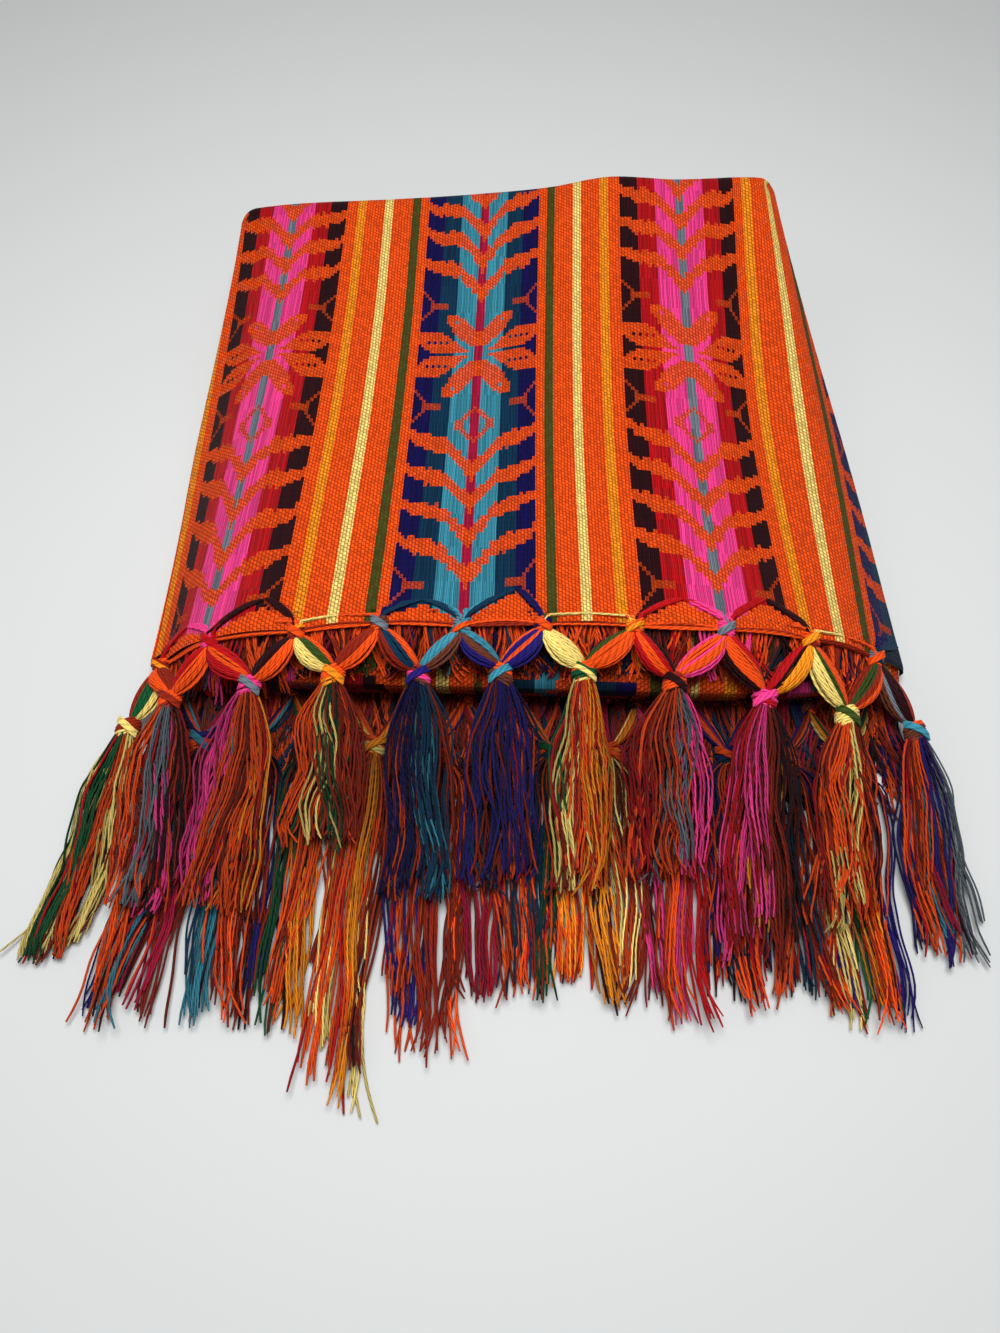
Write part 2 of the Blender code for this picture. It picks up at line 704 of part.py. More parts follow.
def make_top_tassels():
    anchors = [top_knot_centre(x) for x in TOP_HEADING_KNOTS_X]
    for number, row in enumerate(TOP_TASSELS, 1):
        knot_x, knot_y, knot_z, tip_x, tip_y, tip_z, half_spread, loops_to, loop_lift = row
        make_tassel(
            f"tassel_top_{number:02d}",
            Vector((knot_x, knot_y, knot_z)),
            Vector((tip_x, tip_y, tip_z)),
            half_spread,
            [anchors[k] for k in loops_to],
            loop_lift,
            TOP_LOOP,
            TOP_STRANDS_ACROSS,
            TOP_STRAND_STATIONS,
            TASSEL_COLOURS[number - 1],
        )


def low_heading_knots():
    return [LOW_FIRST_X + LOW_TASSEL_PITCH * (k - 0.5) for k in range(len(LOW_TIPS) + 1)]


def make_low_tassels():
    anchors = [low_knot_centre(x) for x in low_heading_knots()]
    for index, (tip_x, tip_y) in enumerate(LOW_TIPS):
        knot = Vector((LOW_FIRST_X + LOW_TASSEL_PITCH * index, LOW_KNOT_Y, LOW_KNOT_Z))
        make_tassel(
            f"tassel_low_{index + 1:02d}",
            knot,
            Vector((tip_x, tip_y, LOW_TIP_Z)),
            LOW_HALF_SPREAD,
            anchors[index : index + 2],
            0.0,
            LOW_LOOP,
            LOW_STRANDS_ACROSS,
            LOW_STRAND_STATIONS,
            TASSEL_COLOURS[index % len(TASSEL_COLOURS)],
        )


def main():
    for obj in list(bpy.data.objects):
        bpy.data.objects.remove(obj)
    grid = leaf_grid()
    make_cloth_top(grid)
    make_folded_layers(grid)
    make_heading(
        "fringe_heading_top",
        TOP_HEADING_KNOTS_X,
        lambda x: FRONT_Y,
        lambda x: front_edge(x)[1] - CLOTH_WALL / 2,
        ORANGE,
    )
    make_heading(
        "fringe_heading_low",
        low_heading_knots(),
        low_front_y,
        lambda x: LOW_HEADING_Z,
        RUST,
    )
    make_top_tassels()
    make_low_tassels()


main()
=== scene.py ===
"""Looks of a rebozo shawl folded into a packet, with its knotted fringe spread in front of it.

The cloth is woven cell by cell from short charts: brocaded bands of warp floats with orange figures,
and a ground of narrow stripes in plain weave. The fringe is yarn by yarn. Metres, +Z up, in the
frame of the solids.
"""

import math

import bpy
import numpy as np
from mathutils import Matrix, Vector


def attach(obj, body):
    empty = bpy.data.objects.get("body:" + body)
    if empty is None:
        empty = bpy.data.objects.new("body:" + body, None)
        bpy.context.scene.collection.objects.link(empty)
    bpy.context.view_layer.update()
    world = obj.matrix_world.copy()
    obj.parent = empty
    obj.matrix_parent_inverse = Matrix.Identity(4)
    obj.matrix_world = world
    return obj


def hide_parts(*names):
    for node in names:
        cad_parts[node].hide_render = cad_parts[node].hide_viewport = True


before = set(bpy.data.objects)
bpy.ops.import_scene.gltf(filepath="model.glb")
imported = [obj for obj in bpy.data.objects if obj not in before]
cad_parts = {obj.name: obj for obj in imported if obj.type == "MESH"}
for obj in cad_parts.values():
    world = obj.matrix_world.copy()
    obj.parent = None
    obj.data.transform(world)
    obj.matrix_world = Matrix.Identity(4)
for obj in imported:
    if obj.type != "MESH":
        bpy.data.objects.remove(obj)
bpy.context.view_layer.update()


# ---- driving dimensions, as in the solids

CLOTH_WALL = 0.0018
PIECE_GAP = 0.0003
FRONT_Y = -0.1235
SIDE_FOLD_RADIUS = 0.0045
BACK_FOLD_RADIUS = 0.0080
CORNER_RADIUS = 0.0052
FOLD_TURN_END = math.radians(125)
MIDDLE_STATION = 0.42
BACK_EDGE_SHIFT_LEFT = -0.009
BACK_EDGE_SHIFT_RIGHT = 0.005
WIDENS_OVER = 4 / 22  # of the leaf's width: the back fold's radius grows over this from each corner

SPINE = (
    # along,  y,      z
    (0.00, FRONT_Y, 0.0458),
    (0.22, -0.066, 0.0440),
    (0.42, -0.013, 0.0434),
    (0.62, 0.040, 0.0455),
    (0.82, 0.093, 0.0515),
    (1.00, 0.139, 0.0590),
)
SECTIONS = (
    # cloth_x, across, x_front, drop,   x_middle, drop,   x_back,  drop
    (-0.1500, 0.000, -0.1610, 0.0345, -0.1665, 0.0330, -0.1515, 0.0075),
    (-0.1080, 0.110, -0.1345, 0.0125, -0.1315, 0.0105, -0.1250, 0.0050),
    (-0.0695, 0.225, -0.0940, 0.0008, -0.0905, 0.0004, -0.0889, 0.0035),
    (0.0000, 0.425, -0.0198, 0.0000, -0.0200, 0.0000, -0.0199, -0.0005),
    (0.0380, 0.529, 0.0188, 0.0000, 0.0164, 0.0000, 0.0155, -0.0040),
    (0.0695, 0.615, 0.0503, 0.0000, 0.0468, 0.0000, 0.0446, -0.0095),
    (0.1080, 0.735, 0.0925, 0.0006, 0.0883, 0.0000, 0.0843, -0.0080),
    (0.1466, 0.845, 0.1298, 0.0065, 0.1225, 0.0030, 0.1187, -0.0090),
    (0.1777, 0.935, 0.1610, 0.0195, 0.1545, 0.0115, 0.1302, -0.0085),
    (0.2015, 1.000, 0.1815, 0.0345, 0.1700, 0.0245, 0.1344, -0.0070),
)
LEFT_FOLD_CLOTH_X = (-0.1500, -0.1492, -0.1380)  # where the left fold starts, at the three stations
RIGHT_FOLD_CLOTH_X = (0.2015, 0.1930, 0.1695)

# ---- the weave: one cell is one float or grain of the cloth

CELL_X = 0.001521
CELL_Y = 0.00204
BAND_CELLS = 71  # from the middle of one brocaded band to the next
BAND_HALF = 20
FLOATS = "clmdCLMD"
# Letters from the middle of a band outwards: centre line, light, middle and dark floats, then ground.
BLUE_STRIPES = "cc" + "l" * 7 + "m" * 6 + "d" * 6 + "ooo" + "ggg" + "o" * 7 + "yy"
PINK_STRIPES = "CC" + "L" * 7 + "M" * 6 + "D" * 6 + "oooo" + "aaa" + "o" * 7 + "y"

UNEVEN_PICKS = 1.1  # how far a chevron's edge strays from one column to the next
FIGURE_SHADE = 0.5  # painted shade on the ground that shows through a figure
FULL_COVER = 0.95  # with this much weft a figure would hide the ground
# Chevron: the lower edge of its arm and its thickness, in rows, at these cells from the middle.
CHEVRON_AT = (0, 5, 8, 12, 15, 18, 20)
CHEVRON_LOWER = (0.0, 5.6, 8.2, 9.0, 9.6, 11.0, 12.2)
CHEVRON_THICK = (5.4, 3.9, 4.3, 4.7, 4.4, 3.5, 3.1)
# Eight-petalled star: one quarter of it. Each string is a row, from the middle row up, and runs from
# the middle of the band to its edge.
STAR = (
    ".....................",
    "....#############....",
    "......#############..",
    "####...#############.",
    "#####...###o#o#o#o###",
    "#######...###########",
    "########...##########",
    "#########....########",
    "..########...........",
    "...#######...........",
    "....#######..........",
    ".....###o###.........",
    "......######.........",
    "........####.........",
)
MOTIFS = (
    # kind, row of the foot or middle of each
    ("bird", (8,)),
    ("chevron", (7, 18, 28.5, 38.5)),
    ("diamond", (55,)),
    ("bird", (61,)),
    ("star", (77,)),
    ("bird", (94,)),
    ("chevron", (95, 105, 114.5, 124.3, 134)),
)


def srgb(red, green, blue):
    """A colour given in 0 to 255, as linear light."""
    return tuple(((c / 255 + 0.055) / 1.055) ** 2.4 if c > 10 else c / 3294.6 for c in (red, green, blue))


DYES = {
    "orange": srgb(250, 84, 14),
    "rust": srgb(150, 36, 12),
    "amber": srgb(252, 150, 24),
    "yellow": srgb(253, 226, 126),
    "olive": srgb(56, 78, 26),
    "green": srgb(14, 88, 48),
    "crimson": srgb(176, 14, 58),
    "red": srgb(190, 8, 18),
    "pink": srgb(255, 64, 146),
    "maroon": srgb(42, 2, 9),
    "light_blue": srgb(60, 146, 168),
    "teal": srgb(4, 50, 78),
    "navy": srgb(12, 6, 76),
    "indigo": srgb(34, 24, 112),
    "grey": srgb(112, 124, 134),
    "brown": srgb(108, 54, 36),
}
STRIPE_DYES = {
    "c": "crimson",
    "l": "light_blue",
    "m": "teal",
    "d": "navy",
    "C": "grey",
    "L": "pink",
    "M": "red",
    "D": "maroon",
    "o": "orange",
    "g": "olive",
    "a": "amber",
    "y": "yellow",
}


def scatter(column, foot):
    """A number from 0 to 1 that looks random, and is the same for the same cell."""
    return (np.sin(column * 12.9898 + foot * 78.233) * 43758.5) % 1.0


def chevron_cells(d, rise):
    lower = np.interp(d, CHEVRON_AT, CHEVRON_LOWER)
    thick = np.interp(d, CHEVRON_AT, CHEVRON_THICK)
    return (rise + 0.5 >= lower) & (rise + 0.5 < lower + thick)


def bird_cells(d, rise):
    """A bird's foot at the band's edge: two toes that meet, and a leg towards the middle."""
    toes = (d >= 16) & (np.abs(np.abs(rise + 0.5) - 1.05 * (d - 16)) < 0.60)
    leg = (d >= 12) & (d <= 16) & (np.abs(rise + 0.5) < 1)
    return toes | leg


def diamond_cells(d, rise):
    """A hollow diamond with bold corners at its two sides."""
    size = d / 6.2 + np.abs(rise) / 5.2
    corner = (d >= 4) & (d <= 6) & (np.abs(rise) <= 1)
    return ((size > 0.80) & (size < 1.10)) | corner


def star_cells(d, rise):
    inside = np.abs(rise) < len(STAR)
    chart = np.array([[cell == "#" for cell in row] for row in STAR])
    return inside & chart[np.where(inside, np.abs(rise), 0), np.minimum(d, BAND_HALF)]


FIGURES = {
    # its cells, how much of the orange weft shows
    "chevron": (chevron_cells, 0.84),
    "bird": (bird_cells, 0.46),
    "diamond": (diamond_cells, 0.66),
    "star": (star_cells, 0.82),
}


def weave(column, row):
    """Letter of the dye, whether it floats and how much weft covers it, for arrays of cells."""
    band = np.round(column / BAND_CELLS).astype(int)
    d = np.abs(column - band * BAND_CELLS).astype(int)
    letter = np.where(band % 2 == 0, np.array(list(BLUE_STRIPES))[d], np.array(list(PINK_STRIPES))[d])
    cover = np.zeros(column.shape)
    for kind, foot in [(kind, foot) for kind, feet in MOTIFS for foot in feet]:
        rise = row - foot
        if kind == "chevron":
            rise = rise + UNEVEN_PICKS * (scatter(column, foot) - 0.5)
        cells_of, figure_cover = FIGURES[kind]
        cover = np.where(cells_of(d, rise) & (d <= BAND_HALF), figure_cover, cover)
    floats = np.isin(letter, list(FLOATS)) & (cover == 0)
    return letter, floats, cover


def weave_dyes(column, row):
    letter, floats, cover = weave(column, row)
    names = np.vectorize(STRIPE_DYES.get)(letter)
    colours = np.array([DYES[name] for name in names.ravel()]).reshape(*names.shape, 3)
    figure = cover[..., None]
    mixed = np.array(DYES["orange"]) * figure + colours * (FULL_COVER - figure) * FIGURE_SHADE
    return np.where(figure > 0, mixed, colours), floats


# ---- the leaf's surface


def smooth(knots, values, at):
    """A smooth curve through the values at these knots. Each value may be an array like at."""
    knots = np.asarray(knots, float)
    values = np.array([np.broadcast_to(value, at.shape) for value in values], float)
    slopes = np.gradient(values, knots, axis=0)
    at = np.clip(at, knots[0], knots[-1])
    i = np.clip(np.searchsorted(knots, at, side="right") - 1, 0, len(knots) - 2)
    width = knots[i + 1] - knots[i]
    k = (at - knots[i]) / width

    def pick(table, index):
        return np.take_along_axis(table, index[None], axis=0)[0]

    rise = (1 + 2 * k) * (1 - k) ** 2 * pick(values, i) + k * k * (3 - 2 * k) * pick(values, i + 1)
    lean = k * (1 - k) ** 2 * pick(slopes, i) - k * k * (1 - k) * pick(slopes, i + 1)
    return rise + width * lean


def column_of(table, index):
    return [row[index] for row in table]


ALONG = np.linspace(0, 1, 801)
SPINE_Y = smooth(column_of(SPINE, 0), column_of(SPINE, 1), ALONG)
SPINE_Z = smooth(column_of(SPINE, 0), column_of(SPINE, 2), ALONG)
SPINE_LENGTH = np.concatenate([[0], np.cumsum(np.hypot(np.diff(SPINE_Y), np.diff(SPINE_Z)))])
BACK_CLOTH_Y = SPINE_LENGTH[-1]  # where the back fold starts, measured along the cloth
LEFT_CLOTH_X = SECTIONS[0][0]
STATIONS = (0.0, MIDDLE_STATION, 1.0)
OUTER_MAROON = 1  # rows of SECTIONS: past these two the cloth gives, towards its folds
OUTER_AMBER = 7
SLOPE_STEP_ACROSS = 1 / 22  # as in the solids' grid, so that the folds start at the same slope
SLOPE_STEP_ALONG = 1 / 14
LEAST_START, MOST_START = math.radians(-20), math.radians(75)  # of a fold's turn


def left_cloth_x(along):
    return smooth(STATIONS, LEFT_FOLD_CLOTH_X, along)


def right_cloth_x(along):
    return smooth(STATIONS, RIGHT_FOLD_CLOTH_X, along)


def across_of(cloth_x, along):
    """The section parameter of the solids, for a place on the cloth."""
    maroon = SECTIONS[OUTER_MAROON][0]
    first = SECTIONS[0][0]
    spread = maroon + (cloth_x - maroon) * (first - maroon) / (left_cloth_x(along) - maroon)
    amber = SECTIONS[OUTER_AMBER][0]
    last = SECTIONS[-1][0]
    squeezed = amber + (cloth_x - amber) * (last - amber) / (right_cloth_x(along) - amber)
    cloth_x = np.where(cloth_x > amber, squeezed, np.where(cloth_x < maroon, spread, cloth_x))
    return smooth(column_of(SECTIONS, 0), column_of(SECTIONS, 1), cloth_x)


def leaf_point(across, along):
    """The leaf's middle surface, from the three sections of the solids."""
    at = [smooth(column_of(SECTIONS, 1), column_of(SECTIONS, k), across) for k in range(2, 8)]
    x = smooth(STATIONS, at[0::2], along)
    drop = smooth(STATIONS, at[1::2], along)
    y = np.interp(along, ALONG, SPINE_Y)
    z = np.interp(along, ALONG, SPINE_Z)
    shift = BACK_EDGE_SHIFT_LEFT + (BACK_EDGE_SHIFT_RIGHT - BACK_EDGE_SHIFT_LEFT) * across
    return np.stack([x, y + shift * along**3, z - drop], axis=-1)


class Edge:
    """The leaf's point under each place of the cloth and, past its edge, the fold that rounds down."""

    def __init__(self, cloth_x, cloth_y):
        along = np.interp(cloth_y, SPINE_LENGTH, ALONG)
        past_left = left_cloth_x(along) - cloth_x
        past_right = cloth_x - right_cloth_x(along)
        self.past_side = np.maximum(np.maximum(past_left, past_right), 0.0)
        self.past_back = np.maximum(cloth_y - BACK_CLOTH_Y, 0.0)
        across = np.clip(across_of(cloth_x, along), 0.0, 1.0)
        point = leaf_point(across, along)
        side = leaf_point(np.round(across), along)
        back = leaf_point(across, np.ones_like(along))
        sign = np.where(across < 0.5, -1.0, 1.0)
        inward_x = np.clip(CORNER_RADIUS - np.abs(side[..., 0] - point[..., 0]), 0, None)
        inward_y = np.clip(CORNER_RADIUS - (back[..., 1] - point[..., 1]), 0, None)
        reach = np.maximum(np.hypot(inward_x, inward_y), 1e-9)
        near = (inward_x > 0) & (inward_y > 0)
        shrink = np.where(near, np.maximum(inward_x, inward_y) / reach - 1, 0.0)
        point[..., 0] += sign * inward_x * shrink
        point[..., 1] += inward_y * shrink
        self.point = point
        on_side = self.past_side > 0
        on_back = self.past_back > 0
        out_x = np.where(on_side | near, sign * inward_x / reach, 0.0)
        out_y = np.where(on_back | near, inward_y / reach, 0.0)
        length = np.maximum(np.hypot(out_x, out_y), 1e-9)
        self.out = np.stack([out_x / length, out_y / length, np.zeros_like(out_x)], axis=-1)
        inner = leaf_point(np.clip(across, SLOPE_STEP_ACROSS, 1 - SLOPE_STEP_ACROSS), along)
        run_x = np.maximum(np.abs(side[..., 0] - inner[..., 0]), 1e-4)
        slope_side = np.where(on_side | near, (inner[..., 2] - side[..., 2]) / run_x, 0.0)
        behind = leaf_point(across, np.minimum(along, 1 - SLOPE_STEP_ALONG))
        run_y = np.maximum(back[..., 1] - behind[..., 1], 1e-4)
        slope_back = np.where(on_back | near, (behind[..., 2] - back[..., 2]) / run_y, 0.0)
        start = np.arctan(slope_side * np.abs(self.out[..., 0]) + slope_back * self.out[..., 1])
        self.start = np.clip(start, LEAST_START, MOST_START)
        widening = np.clip(np.minimum(across, 1 - across) / WIDENS_OVER, 0, 1) * on_back
        self.radius = SIDE_FOLD_RADIUS + (BACK_FOLD_RADIUS - SIDE_FOLD_RADIUS) * widening

    def turned(self, turn, radius):
        """The fold's point at this turn from the vertical, at this radius about its centre."""
        lift = radius * np.cos(turn) - self.radius * np.cos(self.start)
        swing = radius * np.sin(turn) - self.radius * np.sin(self.start)
        point = self.point + self.out * swing[..., None]
        point[..., 2] += lift
        return point


def cloth_point(cloth_x, cloth_y):
    """The place of a point of the cloth, on the leaf or on the fold past its edge, and its turn."""
    edge = Edge(cloth_x, cloth_y)
    past = np.maximum(edge.past_side, edge.past_back)
    turn = edge.start + past / edge.radius
    folded = edge.turned(np.minimum(turn, FOLD_TURN_END), edge.radius)
    some = past > 0
    return np.where(some[..., None], folded, edge.point), np.where(some, turn, 0.0)


# ---- materials


class Wire:
    """A node's output. Arithmetic on it puts down Math nodes."""

    def __init__(self, nodes, socket):
        self.nodes = nodes
        self.socket = socket

    def __add__(self, other):
        return self.nodes.math("ADD", self, other)

    def __radd__(self, other):
        return self.nodes.math("ADD", other, self)

    def __sub__(self, other):
        return self.nodes.math("SUBTRACT", self, other)

    def __rsub__(self, other):
        return self.nodes.math("SUBTRACT", other, self)

    def __mul__(self, other):
        return self.nodes.math("MULTIPLY", self, other)

    def __truediv__(self, other):
        return self.nodes.math("DIVIDE", self, other)

    def __mod__(self, other):
        return self.nodes.math("MODULO", self, other)

    def __pow__(self, other):
        return self.nodes.math("POWER", self, other)


class Nodes:
    """A few words for building a material's nodes."""

    def __init__(self, name):
        self.material = bpy.data.materials.new(name)
        self.material.use_nodes = True
        self.tree = self.material.node_tree
        self.shader = self.tree.nodes["Principled BSDF"]

    def node(self, kind, inputs, output=0):
        """A new node, with its inputs set by number or by name."""
        node = self.tree.nodes.new("ShaderNode" + kind)
        for key, value in inputs.items():
            self.put(value, node.inputs[key])
        return node, Wire(self, node.outputs[output])

    def put(self, value, socket):
        if isinstance(value, Wire):
            self.tree.links.new(value.socket, socket)
        elif isinstance(value, tuple):
            socket.default_value = (*value, 1.0)[: len(socket.default_value)]
        else:
            socket.default_value = value

    def math(self, operation, *values):
        node, wire = self.node("Math", dict(enumerate(values)))
        node.operation = operation
        return wire

    def arch(self, part):
        """A half wave over 0 to 1."""
        return self.math("SINE", part * math.pi)

    def mix(self, factor, first, second, blend="MIX"):
        node = self.tree.nodes.new("ShaderNodeMix")
        node.data_type = "RGBA"
        node.blend_type = blend
        for socket, value in ((0, factor), (6, first), (7, second)):
            self.put(value, node.inputs[socket])
        return Wire(self, node.outputs[2])

    def dyed(self, colour, by):
        """The colour as another one filters it."""
        return self.mix(1.0, colour, by, "MULTIPLY")

    def attribute(self, name, output):
        node, wire = self.node("Attribute", {}, output)
        node.attribute_name = name
        return wire

    def uv(self):
        node, wire = self.node("UVMap", {})
        node.uv_map = "cloth"
        split, u = self.node("SeparateXYZ", {0: wire})
        return u, Wire(self, split.outputs[1])

    def join(self, x, y, z=0.0):
        return self.node("CombineXYZ", {0: x, 1: y, 2: z})[1]

    def noise(self, vector, scale, detail=2.0):
        return self.node("TexNoise", {"Vector": vector, "Scale": scale, "Detail": detail})[1]

    def random(self, vector):
        return self.node("TexWhiteNoise", {"Vector": vector})[1]

    def ramp(self, value, low, high):
        """0 at low, 1 at high, smooth between."""
        node, wire = self.node("MapRange", {0: value, 1: low, 2: high})
        node.interpolation_type = "SMOOTHSTEP"
        return wire

    def finish(self, colour, roughness, sheen, sheen_roughness, height, depth, strength):
        bump = self.node("Bump", {"Strength": strength, "Distance": depth, "Height": height})[1]
        looks = {
            "Base Color": colour,
            "Roughness": roughness,
            "Sheen Weight": sheen,
            "Sheen Roughness": sheen_roughness,
            "Specular IOR Level": SPECULAR,
            "Normal": bump,
        }
        for name, value in looks.items():
            self.put(value, self.shader.inputs[name])
        return self.material


SPECULAR = 0.10  # of cloth and yarn
FLOAT_TWIST = 0.0030  # length of one turn of a float's ply
YARN_TWIST = 0.0042
PICK_SLANT = 0.22  # rows that a grain of the plain weave rises across its column
FLOAT_TINTS = 0.11  # changes of a float's tint for each row
WEAVE_BUMP = 0.0005
YARN_BUMP = 0.0004


def cloth_material():
    """Plain weave as rounded grains set like bricks, and floats as long strands side by side."""
    n = Nodes("woven_cloth")
    u, v = n.uv()
    place = n.join(u, v)
    wander = (n.noise(place, 90.0) - 0.5) * 0.0011
    across = (u + wander) / CELL_X
    along = v / CELL_Y
    warp = n.math("FLOOR", across)
    in_warp = n.math("FRACT", across)
    odd = n.math("ABSOLUTE", warp) % 2.0
    slanted = (along + odd * 0.5) + in_warp * PICK_SLANT
    arch_warp = n.arch(in_warp)
    grain = (arch_warp * n.arch(n.math("FRACT", slanted))) ** 0.5
    strand = n.math("FRACT", across * 2.0)
    ply = n.math("SINE", v * (2 * math.pi / FLOAT_TWIST) + strand * 3.6)
    rope = (n.arch(strand) ** 0.6 * 0.62 + arch_warp**0.4 * 0.38) + ply * 0.06
    floating = n.attribute("floats", "Fac")
    height = grain * (1.0 - floating) + rope * floating

    float_own = n.random(n.join(n.math("FLOOR", across * 2.0), n.math("FLOOR", along * FLOAT_TINTS)))
    grain_own = n.random(n.join(warp, n.math("FLOOR", slanted)))
    own = n.mix(floating, n.join(grain_own, grain_own, grain_own), n.join(float_own, float_own, float_own))
    tint = n.mix(0.36 + floating * 0.14, (1.0, 1.0, 1.0), own)
    dye = n.attribute("dye", "Color")
    # painted shade: the gaps between grains and between strands are darkened; in plain weave some of the
    # orange weft also shows there
    plain_gap_weft_and_shade = n.mix(0.35, n.dyed(dye, (0.32, 0.27, 0.27)), srgb(140, 36, 10))
    gap = n.mix(floating, plain_gap_weft_and_shade, n.dyed(dye, (0.28, 0.28, 0.32)))
    colour = n.mix(n.ramp(height, 0.15, 0.78), gap, n.dyed(dye, tint))
    cloud = n.noise(place, 22.0, 3.0)
    colour = n.mix(cloud * 0.22, colour, n.dyed(colour, (0.62, 0.58, 0.60)))
    return n.finish(colour, 0.85 - floating * 0.25, 0.02, 0.4, height, WEAVE_BUMP, 0.9)


def yarn_material():
    """Two-ply acrylic yarn. The UV runs round the yarn and along it."""
    n = Nodes("twisted_yarn")
    u, v = n.uv()
    turns = v * (2 * math.pi / YARN_TWIST) + u * (4 * math.pi)
    lobes = n.math("ABSOLUTE", n.math("SINE", turns * 0.5)) ** 0.55
    dye = n.attribute("dye", "Color")
    fibre = n.noise(n.join(u * 3.0, v * 900.0), 2.0, 3.0)
    # painted shade in the grooves between the two plies
    colour = n.mix(n.ramp(lobes, 0.15, 0.8), n.dyed(dye, (0.42, 0.40, 0.42)), dye)
    colour = n.mix(fibre * 0.28, colour, n.dyed(dye, (0.6, 0.56, 0.6)))
    return n.finish(colour, 0.62, 0.04, 0.45, lobes + fibre * 0.3, YARN_BUMP, 0.8)


# ---- meshes

CELL_CORNERS = ((0, 0), (1, 0), (1, 1), (0, 1))
NOT_ALONG_ANY_YARN = (0.123, 0.31, 0.94)
TWIST_SHIFT = 0.00137  # each yarn's twist starts this much further on


def unit(vectors):
    vectors = np.asarray(vectors, float)
    return vectors / np.maximum(np.linalg.norm(vectors, axis=-1, keepdims=True), 1e-9)


def corners_of(table, order=CELL_CORNERS):
    """The table's values at the four corners of each cell of its grid."""
    rows, steps = table.shape[0] - 1, table.shape[1] - 1
    return np.stack([table[i : i + rows, j : j + steps] for i, j in order], axis=2)


class Piece:
    """Quads gathered into one mesh, with a dye and a place on the cloth at each corner of each."""

    def __init__(self):
        self.points = []
        self.faces = []
        self.dyes = []
        self.uvs = []
        self.floats = []
        self.count = 0

    def gather(self, points, faces, dyes, uvs, floats=None):
        """dyes, uvs and floats hold one row for each corner. Only cloth has floats."""
        self.points.append(points.reshape(-1, 3))
        self.faces.append(faces.reshape(-1, 4) + self.count)
        self.dyes.append(dyes.reshape(-1, 3))
        self.uvs.append(uvs.reshape(-1, 2))
        if floats is not None:
            self.floats.append(floats)
        self.count += len(self.points[-1])

    def build(self, name, material):
        faces = np.concatenate(self.faces)
        points = np.concatenate(self.points)
        mesh = bpy.data.meshes.new(name)
        mesh.vertices.add(len(points))
        mesh.vertices.foreach_set("co", points.astype(np.float32).ravel())
        mesh.loops.add(faces.size)
        mesh.loops.foreach_set("vertex_index", faces.ravel().astype(np.int32))
        mesh.polygons.add(len(faces))
        mesh.polygons.foreach_set("loop_start", np.arange(0, faces.size, 4, dtype=np.int32))
        mesh.polygons.foreach_set("loop_total", np.full(len(faces), 4, np.int32))
        mesh.update(calc_edges=True)
        layer = mesh.uv_layers.new(name="cloth")
        layer.data.foreach_set("uv", np.concatenate(self.uvs).astype(np.float32).ravel())
        rgba = np.ones((faces.size, 4), np.float32)
        rgba[:, :3] = np.concatenate(self.dyes)
        mesh.attributes.new("dye", "FLOAT_COLOR", "CORNER").data.foreach_set("color", rgba.ravel())
        if self.floats:
            layer = mesh.attributes.new("floats", "FLOAT", "CORNER")
            layer.data.foreach_set("value", np.concatenate(self.floats).astype(np.float32))
        mesh.validate()
        mesh.shade_smooth()
        obj = bpy.data.objects.new(name, mesh)
        bpy.context.scene.collection.objects.link(obj)
        mesh.materials.append(material)
        return obj

    def add_yarns(self, paths, radius, dyes, sides=5, taper=1.0):
        """paths is (yarns, stations, 3), and dyes has one colour for each yarn, or for each span of it."""
        paths = np.asarray(paths, float)
        yarns, stations, _ = paths.shape
        tangent = unit(np.gradient(paths, axis=1))
        first = np.cross(tangent[:, 0], NOT_ALONG_ANY_YARN)
        side = np.empty_like(paths)
        for k in range(stations):
            first = unit(first - tangent[:, k] * np.sum(first * tangent[:, k], axis=1, keepdims=True))
            side[:, k] = first
        up = np.cross(tangent, side)
        turn = (2 * np.pi * np.arange(sides) / sides)[:, None]
        size = np.array(np.broadcast_to(radius, (yarns, stations)), float)
        size[:, -1] *= taper
        ring = side[:, :, None] * np.cos(turn) + up[:, :, None] * np.sin(turn)
        points = paths[:, :, None] + ring * size[:, :, None, None]
        near = np.arange(yarns * stations * sides).reshape(yarns, stations, sides)
        beside = np.roll(near, -1, axis=2)
        faces = [near[:, :-1], beside[:, :-1], beside[:, 1:], near[:, 1:]]
        step = np.linalg.norm(np.diff(paths, axis=1), axis=2)
        length = np.concatenate([np.zeros((yarns, 1)), np.cumsum(step, axis=1)], axis=1)
        length += np.arange(yarns)[:, None] * TWIST_SHIFT
        shape = (yarns, stations - 1, sides)
        start = np.broadcast_to(length[:, :-1, None], shape)
        end = np.broadcast_to(length[:, 1:, None], shape)
        left = np.broadcast_to(np.arange(sides) / sides, shape)
        right = left + 1 / sides
        uvs = np.stack([left, start, right, start, right, end, left, end], axis=-1)
        dyes = np.broadcast_to(np.asarray(dyes, float).reshape(yarns, -1, 1, 1, 3), (*shape, 4, 3))
        self.gather(points, np.stack(faces, axis=-1), dyes, uvs)

    def add_layers(self, points, cloth_x, cloth_y, flip=False, shade=1.0):
        """points is (columns, steps, 3), with the place on the cloth of each."""
        index = np.arange(points.shape[0] * points.shape[1]).reshape(points.shape[:2])
        order = CELL_CORNERS[::-1] if flip else CELL_CORNERS
        x = corners_of(cloth_x, order)
        y = corners_of(cloth_y, order)
        column = np.floor(x.mean(axis=2) / CELL_X + 0.5).astype(int)
        row = np.floor(y.mean(axis=2) / CELL_Y).astype(int)
        dyes, floats = weave_dyes(column, row)
        dyes = np.repeat(dyes.reshape(-1, 3) * shade, 4, axis=0)
        floats = np.repeat(floats.reshape(-1).astype(float), 4)
        self.gather(points, corners_of(index, order), dyes, np.stack([x, y], axis=-1), floats)

